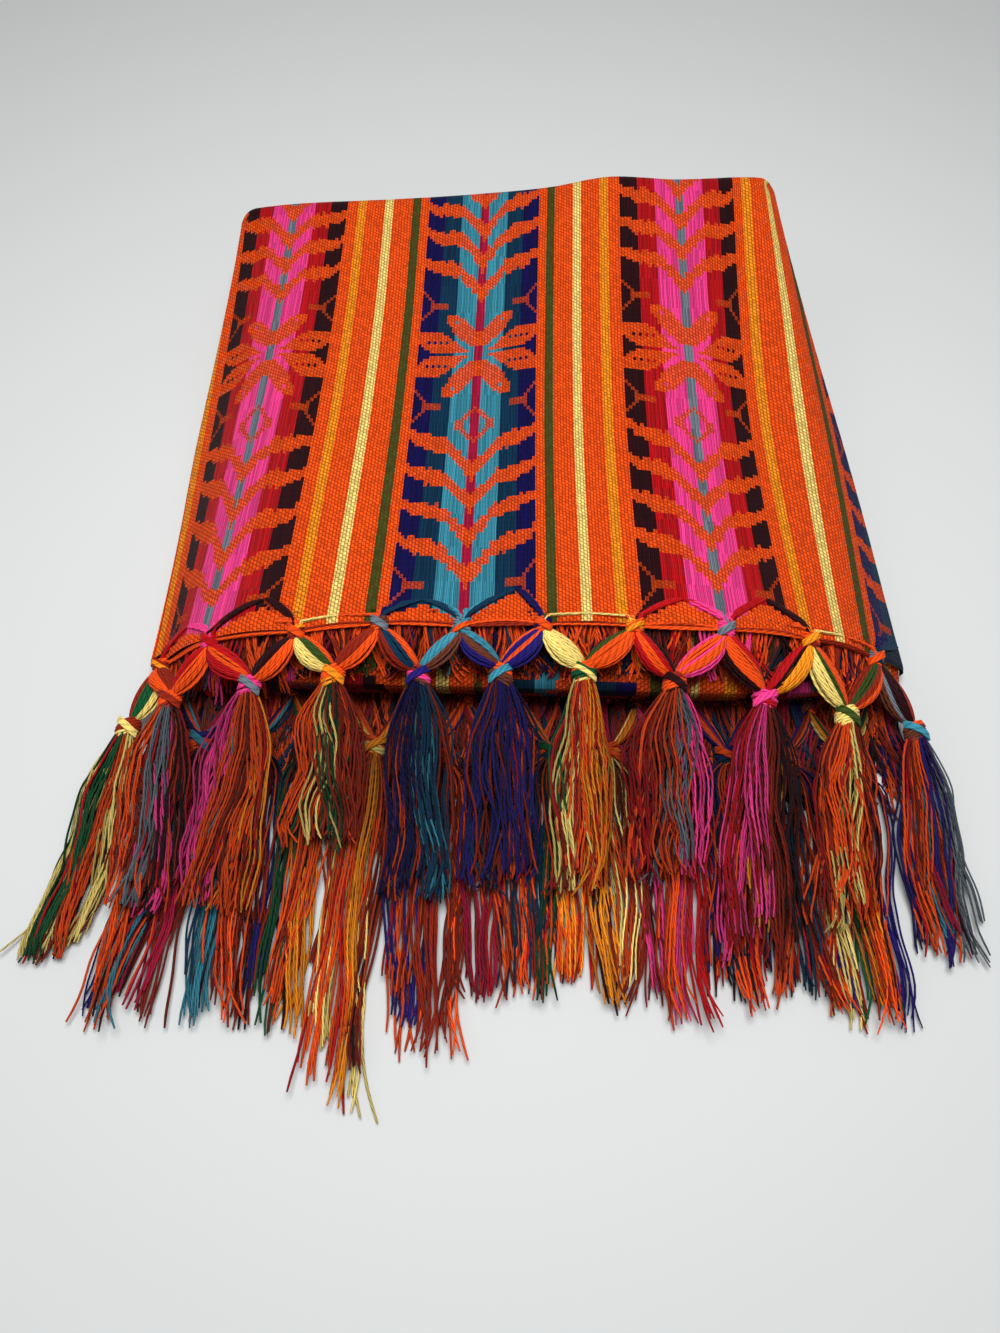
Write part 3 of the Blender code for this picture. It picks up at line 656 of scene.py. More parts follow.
    def close_under(self, rim):
        """The flat underside, as a fan of four-sided faces from its middle to the rim."""
        count = len(rim) - len(rim) % 2
        ring = np.arange(count)
        points = np.concatenate([rim[:count], [rim.mean(axis=0)]])
        middle = np.full(count // 2, count)
        faces = np.stack([middle, np.roll(ring, -2)[0::2], ring[1::2], ring[0::2]], axis=-1)
        dyes = np.tile(DYES["rust"], (faces.size, 1))
        self.gather(points, faces, dyes, points[faces.ravel(), :2], np.zeros(faces.size))


# ---- the leaf on top

SOFT_CREASES = (
    # x,     y,      direction, half length, half width, depth: troughs and ridges of the top leaf
    (-0.055, -0.085, 78, 0.040, 0.010, -0.0010),
    (0.030, -0.090, 96, 0.035, 0.012, 0.0011),
    (0.105, -0.070, 104, 0.050, 0.012, -0.0012),
    (-0.115, -0.050, 84, 0.060, 0.011, 0.0010),
    (0.000, 0.020, 4, 0.090, 0.014, 0.0009),
    (-0.060, 0.070, -8, 0.070, 0.016, -0.0010),
    (0.080, 0.055, 12, 0.060, 0.014, 0.0010),
    (0.060, 0.105, 70, 0.030, 0.010, -0.0009),
    (-0.030, 0.115, 100, 0.028, 0.010, 0.0009),
)
CREASES_END = 0.6  # turn of the fold where the creases have run out
PUCKER = 0.0011
PUCKER_LENGTH = 0.016
KNOTS_X = (-0.1560, -0.1310, -0.0925, -0.0557, -0.0202, 0.0150, 0.0545, 0.0940, 0.1320, 0.1650)
TENTS = (
    # after knot, apex on the way to the next, height: where the ground shows between drawn-off floats
    (0, 0.55, 0.0060),
    (1, 0.60, 0.0115),
    (3, 0.50, 0.0070),
    (4, 0.67, 0.0130),
    (6, 0.54, 0.0090),
    (7, 0.52, 0.0125),
)
HEM_SLIP = (
    # x, how far the hem slips out over the next leaf there, and sideways
    (-0.180, 0.0078, -0.0042),
    (-0.156, 0.0078, -0.0034),
    (-0.131, 0.0058, -0.0014),
    (-0.0925, 0.0060, 0.0006),
    (-0.0557, 0.0024, 0.0),
    (-0.0202, 0.0020, 0.0),
    (0.0150, 0.0004, 0.0),
    (0.0545, 0.0, 0.0),
)
HEM_FALL = 0.40  # how much it comes down as it slips out
HEM_LENGTH = 0.080  # of the cloth that gives
EDGE_REACH = 0.0021  # the weave between the knots hangs this far past them
EDGE_DROP = 0.45  # how steeply
LOOSE_FLOATS = 0.0095  # the floats run loose over this much of the cloth before the edge
LOOSE_PAINTED_SHADE = 0.35  # painted shade: how bright the cloth behind them is, darkened as in their shadow
ROLL = 0.0130  # cloth kept past each side fold, more than its turn needs
BACK_ROLL = 2.4 * ROLL
WEFT_LIFT_ROWS = (0, 19, 40, 61, 78, 95, 120)
WEFT_LIFT = (
    # column, then how many rows the weft leans up the cloth there, at each of the rows above
    (-99, 0, -0.6, 1.7, 2.0, 1.9, -1.5, -5.0),
    (-71, 0, -3.0, 0.2, 2.6, 3.2, 2.0, 0.2),
    (-51, 0, -2.5, -3.5, -2.0, 0.0, -1.0, -2.5),
    (-21, 0, -1.0, -2.6, -1.8, -1.3, -0.9, -1.2),
    (0, 0, 0.0, -1.5, -1.0, -0.3, -0.8, 0.2),
    (19, 0, 2.6, 0.8, 1.7, 2.4, 1.0, 1.5),
    (50, 0, 2.6, 2.9, 3.3, 1.6, 0.8, -1.5),
    (70, 0, 0.5, 0.5, 0.3, 0.0, 0.5, 0.0),
    (90, 0, 0.0, -2.2, -1.6, -3.2, -1.8, -2.5),
    (133, 0, 0.0, -1.0, -1.0, -1.0, -1.0, -1.0),
)


def front_edge(cloth_x):
    start = np.zeros_like(cloth_x)
    return leaf_point(across_of(cloth_x, start), start)


SAMPLE_CLOTH_X = np.linspace(LEFT_CLOTH_X, RIGHT_FOLD_CLOTH_X[0], 400)
SAMPLE_FRONT_X = front_edge(SAMPLE_CLOTH_X)[..., 0]
KNOTS_CLOTH_X = np.interp(KNOTS_X, SAMPLE_FRONT_X, SAMPLE_CLOTH_X)


def front_edge_z(x):
    return front_edge(np.interp(x, SAMPLE_FRONT_X, SAMPLE_CLOTH_X))[..., 2]


def tent_height(cloth_x):
    height = np.zeros(np.shape(cloth_x))
    for knot, part, top in TENTS:
        left, right = KNOTS_CLOTH_X[knot : knot + 2]
        apex = left + part * (right - left)
        slope = np.minimum((cloth_x - left) / (apex - left), (right - cloth_x) / (right - apex))
        height = np.maximum(height, top * slope)
    return height


def crease_lift(x, y):
    lift = np.zeros(x.shape)
    for at_x, at_y, direction, half_length, half_width, depth in SOFT_CREASES:
        turn = math.radians(direction)
        run = (x - at_x) * math.cos(turn) + (y - at_y) * math.sin(turn)
        off = (y - at_y) * math.cos(turn) - (x - at_x) * math.sin(turn)
        lift += depth * np.exp(-((run / half_length) ** 2) - (off / half_width) ** 2)
    return lift


def pucker_lift(cloth_x, cloth_y):
    """The cloth swells between the knots that draw it in."""
    gap = np.clip(np.searchsorted(KNOTS_CLOTH_X, cloth_x) - 1, 0, len(KNOTS_CLOTH_X) - 2)
    left = KNOTS_CLOTH_X[gap]
    right = KNOTS_CLOTH_X[gap + 1]
    part = np.clip((cloth_x - left) / (right - left), 0, 1)
    return PUCKER * np.sin(math.pi * part) ** 1.5 * np.exp(-np.maximum(cloth_y, 0) / PUCKER_LENGTH)


def hem_slip(x):
    """How far the hem at x slips: sideways, out, and down."""
    out = np.interp(x, column_of(HEM_SLIP, 0), column_of(HEM_SLIP, 1))
    aside = np.interp(x, column_of(HEM_SLIP, 0), column_of(HEM_SLIP, 2))
    return np.stack([aside, -out, -HEM_FALL * out], axis=-1)


def top_surface(cloth_x, cloth_y):
    """Points of the finished top face, with its creases and puckers, and how far the fold has turned."""
    point, turn = cloth_point(cloth_x, cloth_y)
    slip = hem_slip(point[..., 0]) * np.clip(1 - cloth_y / HEM_LENGTH, 0, 1)[..., None] ** 1.5
    slip[..., 2] *= np.clip(1 - turn, 0, 1)
    point += slip
    hang = np.clip(-cloth_y, 0, EDGE_REACH)
    point[..., 1] -= hang
    point[..., 2] -= EDGE_DROP * hang
    point[..., 2] += (turn <= 0) * pucker_lift(cloth_x, cloth_y)
    point[..., 2] += np.clip(1 - turn / CREASES_END, 0, 1) * crease_lift(point[..., 0], point[..., 1])
    return point, turn


def weft_lift(cloth_x, cloth_y):
    columns = column_of(WEFT_LIFT, 0)
    lifts = []
    for row in range(len(WEFT_LIFT_ROWS)):
        lifts.append(smooth(columns, column_of(WEFT_LIFT, row + 1), cloth_x / CELL_X))
    return CELL_Y * smooth(WEFT_LIFT_ROWS, lifts, cloth_y / CELL_Y)


def make_top_leaf(material):
    first = math.floor((LEFT_CLOTH_X - ROLL) / CELL_X)
    last = math.ceil((RIGHT_FOLD_CLOTH_X[0] + ROLL) / CELL_X)
    columns = np.arange(first, last + 1)
    rows = np.arange(-1, math.ceil((BACK_CLOTH_Y + BACK_ROLL) / CELL_Y) + 1)
    cloth_x, cloth_y = np.meshgrid((columns - 0.5) * CELL_X, rows * CELL_Y, indexing="ij")
    cloth_y = cloth_y + weft_lift(cloth_x, cloth_y) * (cloth_y > 0)
    points, turn = top_surface(cloth_x, cloth_y)

    cell_column, cell_row = np.meshgrid(columns[:-1], rows[:-1], indexing="ij")
    dyes, floats = weave_dyes(cell_column, cell_row)
    tent = tent_height(cell_column * CELL_X)
    tents = ((cell_row + 1) * CELL_Y < tent) & floats
    loose = (cell_row * CELL_Y < LOOSE_FLOATS) & floats & ~tents & (tent == 0)
    dyes[tents] = DYES["orange"]
    # painted shade on the cloth under the loose floats
    dyes[loose] *= LOOSE_PAINTED_SHADE
    floats = floats & ~tents

    along = np.interp(cloth_y, SPINE_LENGTH, ALONG)
    side = (cloth_x < left_cloth_x(along)) | (cloth_x > right_cloth_x(along))
    in_corner = corners_of(side & (cloth_y > BACK_CLOTH_Y)).all(axis=-1)
    keep = ~corners_of(turn >= FOLD_TURN_END).all(axis=-1) & ~in_corner
    index = np.arange(points.shape[0] * points.shape[1]).reshape(points.shape[:2])
    used, faces = np.unique(corners_of(index)[keep], return_inverse=True)
    uvs = corners_of(np.stack([cloth_x, cloth_y], axis=-1))[keep]
    leaf = Piece()
    dyes = np.repeat(dyes[keep], 4, axis=0)
    leaf.gather(points.reshape(-1, 3)[used], faces, dyes, uvs, np.repeat(floats[keep].astype(float), 4))
    return leaf.build("top_leaf", material)


# ---- the leaves under it

FRONT_REACH = 0.0255
FRONT_PROFILE = (
    # reach, height: down the packet's front, in shares of FRONT_REACH and of the edge's height
    (0.00, 0.955),
    (0.02, 0.870),
    (0.16, 0.730),
    (0.60, 0.665),
    (1.00, 0.590),
    (1.00, 0.465),
    (0.70, 0.400),
    (0.42, 0.362),
    (0.80, 0.315),
    (0.80, 0.195),
    (0.42, 0.160),
    (0.62, 0.125),
    (0.62, 0.030),
    (0.50, 0.000),
)
FRONT_TURNS_AT = 4  # the row where the second leaf reaches furthest
# painted shade on the second leaf's front, which the top leaf and the fringe overhang
FRONT_PAINTED_SHADE = 0.52
SIDE_LEAVES = 3
LEAF_BULGE = 0.0034
BULGE_FOR_RADIUS = 0.25
FATTEST_BULGE = 0.75
UNDER_GROOVE_OUT = 0.28
UNDER_GROOVE_DOWN = 0.72
GROOVE_CLEARANCE = 0.0008
SPLIT_DEPTH = 0.0009  # of the fine groove between the two plies of a fold
SPLIT_WIDTH = 0.07
SECOND_LEAF_SHIFT = 0.045  # the next leaf lies this much further left, so its stripes show shifted
WRAPPED = {"side": 0.011, "back": 0.020, "front": 0.012}  # cloth that the top leaf's fold has used up
UNDER_TURNS = (math.radians(85), math.radians(118))  # the first steps lie inside the top leaf's fold
DOWN_STEPS = 40
JUST_PAST = 1e-6  # a place just past the fold's edge
LAST_STEP_AT = 0.93  # of the lowest leaf's bulge, where it rests


def down_the_fold(edge):
    """Down the packet's side from inside the top leaf's fold, over each leaf's own fold."""
    centre = edge.point - edge.out * (edge.radius * np.sin(edge.start))[..., None]
    centre[..., 2] -= edge.radius * np.cos(edge.start)
    inside = edge.radius - CLOTH_WALL - PIECE_GAP
    steps = []
    for turn in np.linspace(*UNDER_TURNS, 3):
        steps.append(edge.turned(np.full_like(edge.start, turn), 0.9 * inside))
    groove = centre + edge.out * (UNDER_GROOVE_OUT * edge.radius)[..., None]
    groove[..., 2] -= UNDER_GROOVE_DOWN * edge.radius + GROOVE_CLEARANCE
    height = groove[..., 2] / SIDE_LEAVES
    bulge = np.minimum(LEAF_BULGE + BULGE_FOR_RADIUS * edge.radius, FATTEST_BULGE * height)
    for step in range(DOWN_STEPS + 1):
        down = step / DOWN_STEPS * SIDE_LEAVES
        part = down % 1 if step < DOWN_STEPS else LAST_STEP_AT
        out = math.sin(math.pi * part) ** 0.55 if part > 0 else 0.0
        split = SPLIT_DEPTH * math.exp(-(((part - 0.5) / SPLIT_WIDTH) ** 2))
        point = groove + edge.out * (bulge * out - split)[..., None]
        point[..., 2] = groove[..., 2] - height * down
        steps.append(point)
    return np.stack(steps, axis=1)


def run_down(points):
    length = np.linalg.norm(np.diff(points, axis=1), axis=2)
    return np.concatenate([np.zeros((points.shape[0], 1)), np.cumsum(length, axis=1)], axis=1)


def under_side(leaves, side):
    """The folds at the left or right, whose stripes run along them."""
    cloth_y = np.arange(0, BACK_CLOTH_Y + CELL_Y, CELL_Y)
    cloth_y[-1] = BACK_CLOTH_Y
    fold_of = right_cloth_x if side > 0 else left_cloth_x
    fold_x = fold_of(np.interp(cloth_y, SPINE_LENGTH, ALONG))
    points = down_the_fold(Edge(fold_x + side * JUST_PAST, cloth_y))
    wrapped = fold_x[:, None] + side * (WRAPPED["side"] + run_down(points))
    leaves.add_layers(points, wrapped, np.broadcast_to(cloth_y[:, None], wrapped.shape), flip=side < 0)
    return points


def under_back(leaves):
    first, last = (float(fold_of(np.array(1.0))) for fold_of in (left_cloth_x, right_cloth_x))
    cloth_x = np.linspace(first, last, round((last - first) / CELL_X) + 1)
    points = down_the_fold(Edge(cloth_x, np.full_like(cloth_x, BACK_CLOTH_Y + JUST_PAST)))
    wrapped = BACK_CLOTH_Y + WRAPPED["back"] + run_down(points)
    leaves.add_layers(points, np.broadcast_to(cloth_x[:, None], wrapped.shape), wrapped, flip=True)
    return points


def under_front(leaves):
    """Down the packet's front at each x, where the top leaf's edge is z high."""
    cloth_x = SAMPLE_CLOTH_X[::2]
    x = SAMPLE_FRONT_X[::2]
    z = front_edge_z(x)
    at = np.linspace(0, len(FRONT_PROFILE) - 1, 3 * (len(FRONT_PROFILE) - 1) + 1)
    reach, height = (np.interp(at, range(len(FRONT_PROFILE)), column_of(FRONT_PROFILE, k)) for k in (0, 1))
    y = FRONT_Y - FRONT_REACH * reach * (z[:, None] / SPINE[0][2])
    points = np.stack([np.broadcast_to(x[:, None], y.shape), y, z[:, None] * height], axis=-1)
    down = run_down(points)
    shifted = np.broadcast_to(cloth_x[:, None] - SECOND_LEAF_SHIFT, down.shape)
    leaves.add_layers(points, shifted, WRAPPED["front"] + down, shade=FRONT_PAINTED_SHADE)
    return points


def make_under_leaves(material):
    leaves = Piece()
    left = under_side(leaves, -1)
    right = under_side(leaves, 1)
    back = under_back(leaves)
    front = under_front(leaves)
    # a strip closes each front corner, between the side and the front
    for side, corner in ((left, 0), (right, -1)):
        first = side[0]
        second = front[corner]
        at = np.linspace(0, 1, len(first))
        place = np.linspace(0, 1, len(second))
        other = np.stack([np.interp(at, place, second[:, k]) for k in range(3)], axis=-1)
        middle = first * (0.75, 0.25, 0.50) + other * (0.25, 0.75, 0.50)
        points = np.stack([first, middle, other], axis=0)
        cloth_x = np.broadcast_to(LEFT_CLOTH_X + np.linspace(0, 0.01, 3)[:, None], points.shape[:2])
        leaves.add_layers(points, cloth_x, np.broadcast_to(at * 0.05, points.shape[:2]), flip=corner == 0)
    rim = np.concatenate([left[:, -1], back[:, -1], right[::-1, -1], front[::-1, -1]])
    leaves.close_under(rim * (1, 1, 0))
    return leaves.build("under_leaves", material)


# ---- the fringe, seen from the front, with every dye named from left to right

YARN_RADIUS = 0.00062
CUT_TAPER = 0.7
TASSEL_KNOT = (0.0048, 0.0036, 0.0085)  # half width, half height, length
HEADING_KNOT = (0.0034, 0.0030, 0.0056)
HEADING_KNOT_RADIUS = 0.0034
KNOT_PITCH = 0.35

TOP_TASSELS = (
    # knot_x, knot_y,  knot_z, tip_x,   tip_y,   tip_z,  half_spread, loops_to
    (-0.1695, -0.1655, 0.0078, -0.1810, -0.2640, 0.0024, 0.0072, (0,)),
    (-0.1500, -0.1555, 0.0165, -0.1475, -0.2450, 0.0108, 0.0112, (0, 1)),
    (-0.1120, -0.1535, 0.0290, -0.1190, -0.2430, 0.0108, 0.0125, (1, 2)),
    (-0.0750, -0.1500, 0.0350, -0.0780, -0.2170, 0.0112, 0.0112, (2, 3)),
    (-0.0380, -0.1495, 0.0355, -0.0360, -0.2370, 0.0112, 0.0130, (3, 4)),
    (-0.0027, -0.1475, 0.0355, 0.0010, -0.2320, 0.0112, 0.0125, (4, 5)),
    (0.0330, -0.1460, 0.0365, 0.0320, -0.2330, 0.0112, 0.0080, (5, 6)),
    (0.0720, -0.1490, 0.0350, 0.0680, -0.2270, 0.0112, 0.0145, (6, 7)),
    (0.1115, -0.1530, 0.0295, 0.1030, -0.2580, 0.0108, 0.0132, (7, 8)),
    (0.1485, -0.1565, 0.0225, 0.1400, -0.2430, 0.0108, 0.0090, (8, 9)),
    (0.1815, -0.1580, 0.0120, 0.1850, -0.2530, 0.0024, 0.0090, (9,)),
)
TOP_DYES = (
    # strands, knot, left and right loop, each loop from its outer edge to its inner one
    ("yellow green yellow orange rust yellow", "rust yellow", "", "yellow green rust"),
    ("orange rust grey pink red maroon", "orange rust", "orange rust", "orange red"),
    (
        "pink pink grey orange red orange amber", "pink pink grey",
        "red orange red", "orange orange maroon maroon",
    ),
    (
        "orange orange yellow green orange rust", "orange amber",
        "yellow yellow olive orange", "orange rust rust",
    ),
    (
        "rust navy indigo teal light_blue teal rust", "rust pink brown indigo",
        "rust teal teal orange", "brown light_blue light_blue rust",
    ),
    (
        "teal indigo rust navy orange indigo navy", "orange brown light_blue",
        "indigo brown light_blue light_blue", "indigo indigo orange indigo orange",
    ),
    (
        "green yellow yellow orange orange amber", "orange green yellow",
        "yellow", "orange orange orange olive",
    ),
    (
        "orange red orange grey orange pink", "rust orange maroon",
        "red orange red maroon", "pink orange orange pink orange pink",
    ),
    (
        "red pink pink rust amber maroon", "pink red pink",
        "maroon orange orange red", "amber amber maroon red",
    ),
    (
        "orange rust orange yellow orange orange", "yellow yellow olive",
        "yellow yellow olive orange", "orange rust olive rust",
    ),
    (
        "indigo orange light_blue crimson indigo grey", "orange brown light_blue",
        "brown grey maroon rust", "",
    ),
)
TOP_SLOTS = "yellow rust pink amber navy navy yellow rust pink amber navy".split()
HEADING_DYES = (
    "orange rust amber", "red pink red", "amber rust orange", "brown orange grey",
    "grey light_blue orange", "navy orange orange", "amber orange amber", "pink pink grey",
    "orange rust amber", "grey teal orange",
)
LOW_TASSEL_PITCH = 0.0262
LOW_FIRST_X = -0.137
LOW_KNOT_Y = -0.1700
LOW_KNOT_Z = 0.0050
LOW_HEADING_Z = 0.0042
LOW_TIP_Z = 0.0024
LOW_TASSELS = (
    # tip_x, tip_y, half_spread, dyes
    (-0.1520, -0.2900, 0.0125, "indigo orange light_blue crimson rust"),
    (-0.1110, -0.2850, 0.0100, "teal light_blue orange rust indigo"),
    (-0.0870, -0.2870, 0.0090, "indigo green orange amber rust"),
    (-0.0640, -0.3150, 0.0085, "orange yellow amber orange rust"),
    (-0.0310, -0.2960, 0.0125, "indigo orange indigo rust orange"),
    (-0.0020, -0.2750, 0.0120, "rust crimson orange teal orange"),
    (0.0240, -0.2730, 0.0115, "orange teal green orange amber"),
    (0.0500, -0.2740, 0.0115, "orange amber orange yellow rust"),
    (0.0760, -0.2800, 0.0125, "pink orange pink red orange"),
    (0.1020, -0.2770, 0.0120, "indigo teal orange crimson indigo"),
    (0.1280, -0.2740, 0.0120, "orange teal orange rust indigo"),
    (0.1530, -0.2790, 0.0115, "yellow amber green orange indigo"),
)
LOW_SLOTS = "navy teal navy amber navy rust amber amber pink navy teal rust".split()
LOW_KNOTS_X = [LOW_FIRST_X + LOW_TASSEL_PITCH * (k - 0.5) for k in range(len(LOW_TASSELS) + 1)]
LOW_KNOT_SHADE = 0.40  # the lower row lies in the shadow of the upper one
# painted shade on the lower heading's knots, under the upper row
LOW_HEADING_PAINTED_SHADE = 0.6
RIGHT_ENDS_X = 0.1780  # cut ends go on past the lower end's last knot as far as this


def top_knot(x):
    z = float(front_edge_z(np.array(float(x))))
    return np.array([x, FRONT_Y - PIECE_GAP - HEADING_KNOT_RADIUS, z - CLOTH_WALL / 2]) + hem_slip(x)


def low_knot(x):
    """On the table, in front of as much of the packet's front as a knot touches."""
    z = float(front_edge_z(np.array(float(x))))
    levels = np.linspace(0, (LOW_HEADING_Z + HEADING_KNOT_RADIUS) / z, 13)
    reach = np.interp(levels, column_of(FRONT_PROFILE, 1)[::-1], column_of(FRONT_PROFILE, 0)[::-1]).max()
    front = FRONT_Y - FRONT_REACH * reach * z / SPINE[0][2]
    return np.array([x, front - PIECE_GAP - HEADING_KNOT_RADIUS, LOW_HEADING_Z])


def blend_of(names, count, rng, mixing):
    """Dyes for this many yarns that lie side by side, from the names in the order they lie."""
    place = (np.arange(count) + 0.5) / count + rng.normal(0, mixing, count)
    index = np.clip((place * len(names)).astype(int), 0, len(names) - 1)
    return np.array([DYES[names[k]] for k in index]) * rng.uniform(0.82, 1.08, (count, 1))


# ---- tassels: yarns in locks, a wound knot, and loops up to the heading

GOLDEN_ANGLE = 2.39996
ANY_ANGLE = 6.28
STRAND_RADIUS = 0.00052
# shade darkens each row's yarns: for the upper row it is partly the yarns' own darker tone and partly
# painted shade from the packet above them
UPPER_STRANDS = {"count": 72, "stations": 32, "opening": 0.50, "end_spread": 1.0, "shade": 0.64}
LOWER_STRANDS = {"count": 62, "stations": 27, "opening": 0.14, "end_spread": 1.10, "shade": 0.92}
UPPER_KNOT_PAINTED_SHADE = 1.0  # painted shade: how bright a tassel is where it starts
LOWER_KNOT_PAINTED_SHADE = 0.30
UPPER_HEIGHT = 0.0052  # of a tassel where it rests
LOWER_HEIGHT = 0.0066
PAINTED_SHADE_LENGTH = 0.62  # of a lower tassel gets painted shade, darkest at its knot, for the shadow of the row above
MINGLED = 0.20  # of a tassel's yarns lie among the others with one of the common dyes
COMMON_DYES = "rust orange rust red maroon rust".split()
LOCK_YARNS = 8  # yarns that keep together down a tassel
LOCK_CLOSES = 0.60  # how far a lock draws together on the way to its point
LOCK_POINTED = 0.12  # how much shorter its outer yarns are
LOCK_LENGTHS = (0.07, -0.16, 0.05)  # how far they stray from the tassel's, and the most each way
LOCK_LEAN = 0.0030
LOCK_WAVE = 0.0021
YARN_LENGTHS = 0.034
SHORT_SHARE = 0.08  # of the yarns are cut short
CUT_SHORT = 0.22  # of their length
STRAY_SHARE = 0.08
STRAY = 0.007
YARN_WAVES = (
    # waves down the yarn, how far it swings
    (1.7, 0.0006),
    (3.9, 0.0003),
)
RISE_LAG = 1.9  # the yarn rises this long after it sways, as in a spiral
FRIZZ_FROM = 0.86  # the cut ends splay past this part of the length
FRIZZ = 0.0024
STRAND_SAG_POWER = 2.1
KNOT_FILL = (0.0044, 0.0032)  # half width and half height of the yarns where they leave the knot


class TasselShape:
    """Where a tassel hangs from and lies, and the directions at its knot."""

    def __init__(self, knot, tip, half_spread, rest_height):
        self.knot = np.array(knot, float)
        self.tip = np.array(tip, float)
        self.half_spread = half_spread
        self.rest_height = rest_height
        aim = self.tip - self.knot
        aim[2] *= KNOT_PITCH
        self.forward = unit(aim)
        self.side = unit(np.cross((0, 0, 1), self.forward))
        self.up = np.cross(self.forward, self.side)

    def at_knot(self, part):
        """A place this part of the knot's length in front of its middle."""
        return self.knot + self.forward * TASSEL_KNOT[2] * part


def spread_over_disk(count, turned):
    """This many places spread evenly over a disk of radius 1: how far across, and how far up."""
    number = np.arange(count) + 0.5
    reach = np.sqrt(number / count)
    angle = number * GOLDEN_ANGLE + turned
    return reach * np.cos(angle), reach * np.sin(angle)


def add_strands(piece, shape, names, rng, painted_shade_at_knot, count, stations, opening, end_spread, shade):
    """Yarns out of the knot: they swell, fall, and end in ragged locks."""
    a, b = spread_over_disk(count, rng.uniform(0, 6))
    locks = max(5, count // LOCK_YARNS)
    lock_a, lock_b = spread_over_disk(locks, rng.uniform(0, 6))
    lock = np.argmin((a[:, None] - lock_a) ** 2 + (b[:, None] - lock_b) ** 2, axis=1)
    off_a = a - lock_a[lock]
    off_b = b - lock_b[lock]

    def of_lock(values):
        return values[lock][:, None]

    spread, shortest, longest = LOCK_LENGTHS
    length = 1 + np.clip(rng.normal(0, spread, locks), shortest, longest)[lock]
    length -= LOCK_POINTED * np.hypot(off_a, off_b)
    length -= np.abs(rng.normal(0, YARN_LENGTHS, count)) + CUT_SHORT * (rng.random(count) < SHORT_SHARE)
    t = np.linspace(0, 1, stations)[None] * length[:, None]
    whole = np.clip(t, 0, 1.05)

    lean = rng.normal(0, LOCK_LEAN, locks) + lock_a * shape.half_spread * (end_spread - 1)
    open_out = 1 - (1 - np.clip(t / opening, 0, 1)) ** 2.4
    gather = 1 - LOCK_CLOSES * whole**1.5
    stray = (rng.random(count) < STRAY_SHARE) * rng.normal(0, STRAY, count)
    frizz = rng.normal(0, FRIZZ, count)
    lateral = of_lock(lock_a) * shape.half_spread * open_out + of_lock(lean) * whole**2
    lateral += off_a[:, None] * shape.half_spread * 1.15 * open_out * gather
    lateral += stray[:, None] * whole**2
    lateral += frizz[:, None] * np.clip((t - FRIZZ_FROM) / (1 - FRIZZ_FROM), 0, 1.4) ** 1.5

    phase = of_lock(rng.uniform(0, ANY_ANGLE, locks)) + rng.normal(0, 0.25, (count, 1))
    pace = of_lock(rng.uniform(0.7, 1.5, locks))
    waves = [(pace, of_lock(LOCK_WAVE * rng.uniform(0.5, 1.2, locks)), phase)]
    for pace, size in YARN_WAVES:
        phase = of_lock(rng.uniform(0, ANY_ANGLE, locks)) + rng.normal(0, 0.7, (count, 1))
        waves.append((pace, size, phase))

    def swing(lag):
        total = sum(size * np.sin(pace * 2 * math.pi * t + phase + lag) for pace, size, phase in waves)
        return total * np.clip(4 * t, 0, 1)

    sway = swing(0.0)
    rise = swing(RISE_LAG)

    start = shape.at_knot(0.38) + shape.side * (a * KNOT_FILL[0])[:, None]
    start = start + shape.up * (b * KNOT_FILL[1])[:, None]
    path = start[:, None] + (shape.tip - shape.knot) * t[..., None] * (1, 1, 0)
    path += (lateral + sway)[..., None] * shape.side
    crown = of_lock(np.clip(1 - lock_a**2 * 0.6, 0, 1))
    depth = (of_lock(lock_b) + off_b[:, None] * gather + 1) / 2
    along = np.clip(t, 0, 1)
    lying = shape.tip[2] - 0.0014 + depth * crown * shape.rest_height * (1 - 0.3 * along) + np.abs(rise)
    path[..., 2] = lying + (start[:, 2:3] - lying) * (1 - along) ** STRAND_SAG_POWER + 0.5 * rise
    path[..., 2] = np.maximum(path[..., 2], YARN_RADIUS + 0.0001)

    place = (np.argsort(np.argsort(lock_a)) + 0.5) / locks * len(names)
    own = np.array([DYES[names[int(k)]] for k in place])[lock]
    common = np.array([DYES[COMMON_DYES[k]] for k in rng.integers(0, len(COMMON_DYES), count)])
    dyes = np.where(rng.random((count, 1)) < MINGLED, common, own)
    dyes = dyes * of_lock(rng.uniform(0.72, 1.12, locks)) * rng.uniform(0.50, 1.12, (count, 1)) * shade
    # painted shade: darker towards the knot, for the shadow of the row above
    painted_shade_part = np.clip(1 - t[:, 1:, None] / PAINTED_SHADE_LENGTH, 0, 1)
    dyes = dyes[:, None] * (1 - (1 - painted_shade_at_knot) * painted_shade_part)
    radius = STRAND_RADIUS * rng.uniform(0.88, 1.12, (count, 1))
    piece.add_yarns(path, radius, dyes, sides=4, taper=CUT_TAPER)


WOUND_YARN_RADIUS = 0.00074
KNOT_ROUND = 0.80  # how much a knot narrows at its two ends
CROSSING_YARNS = 3  # of the last turn, drawn over the others
CROSSING_PITCH = 0.0011


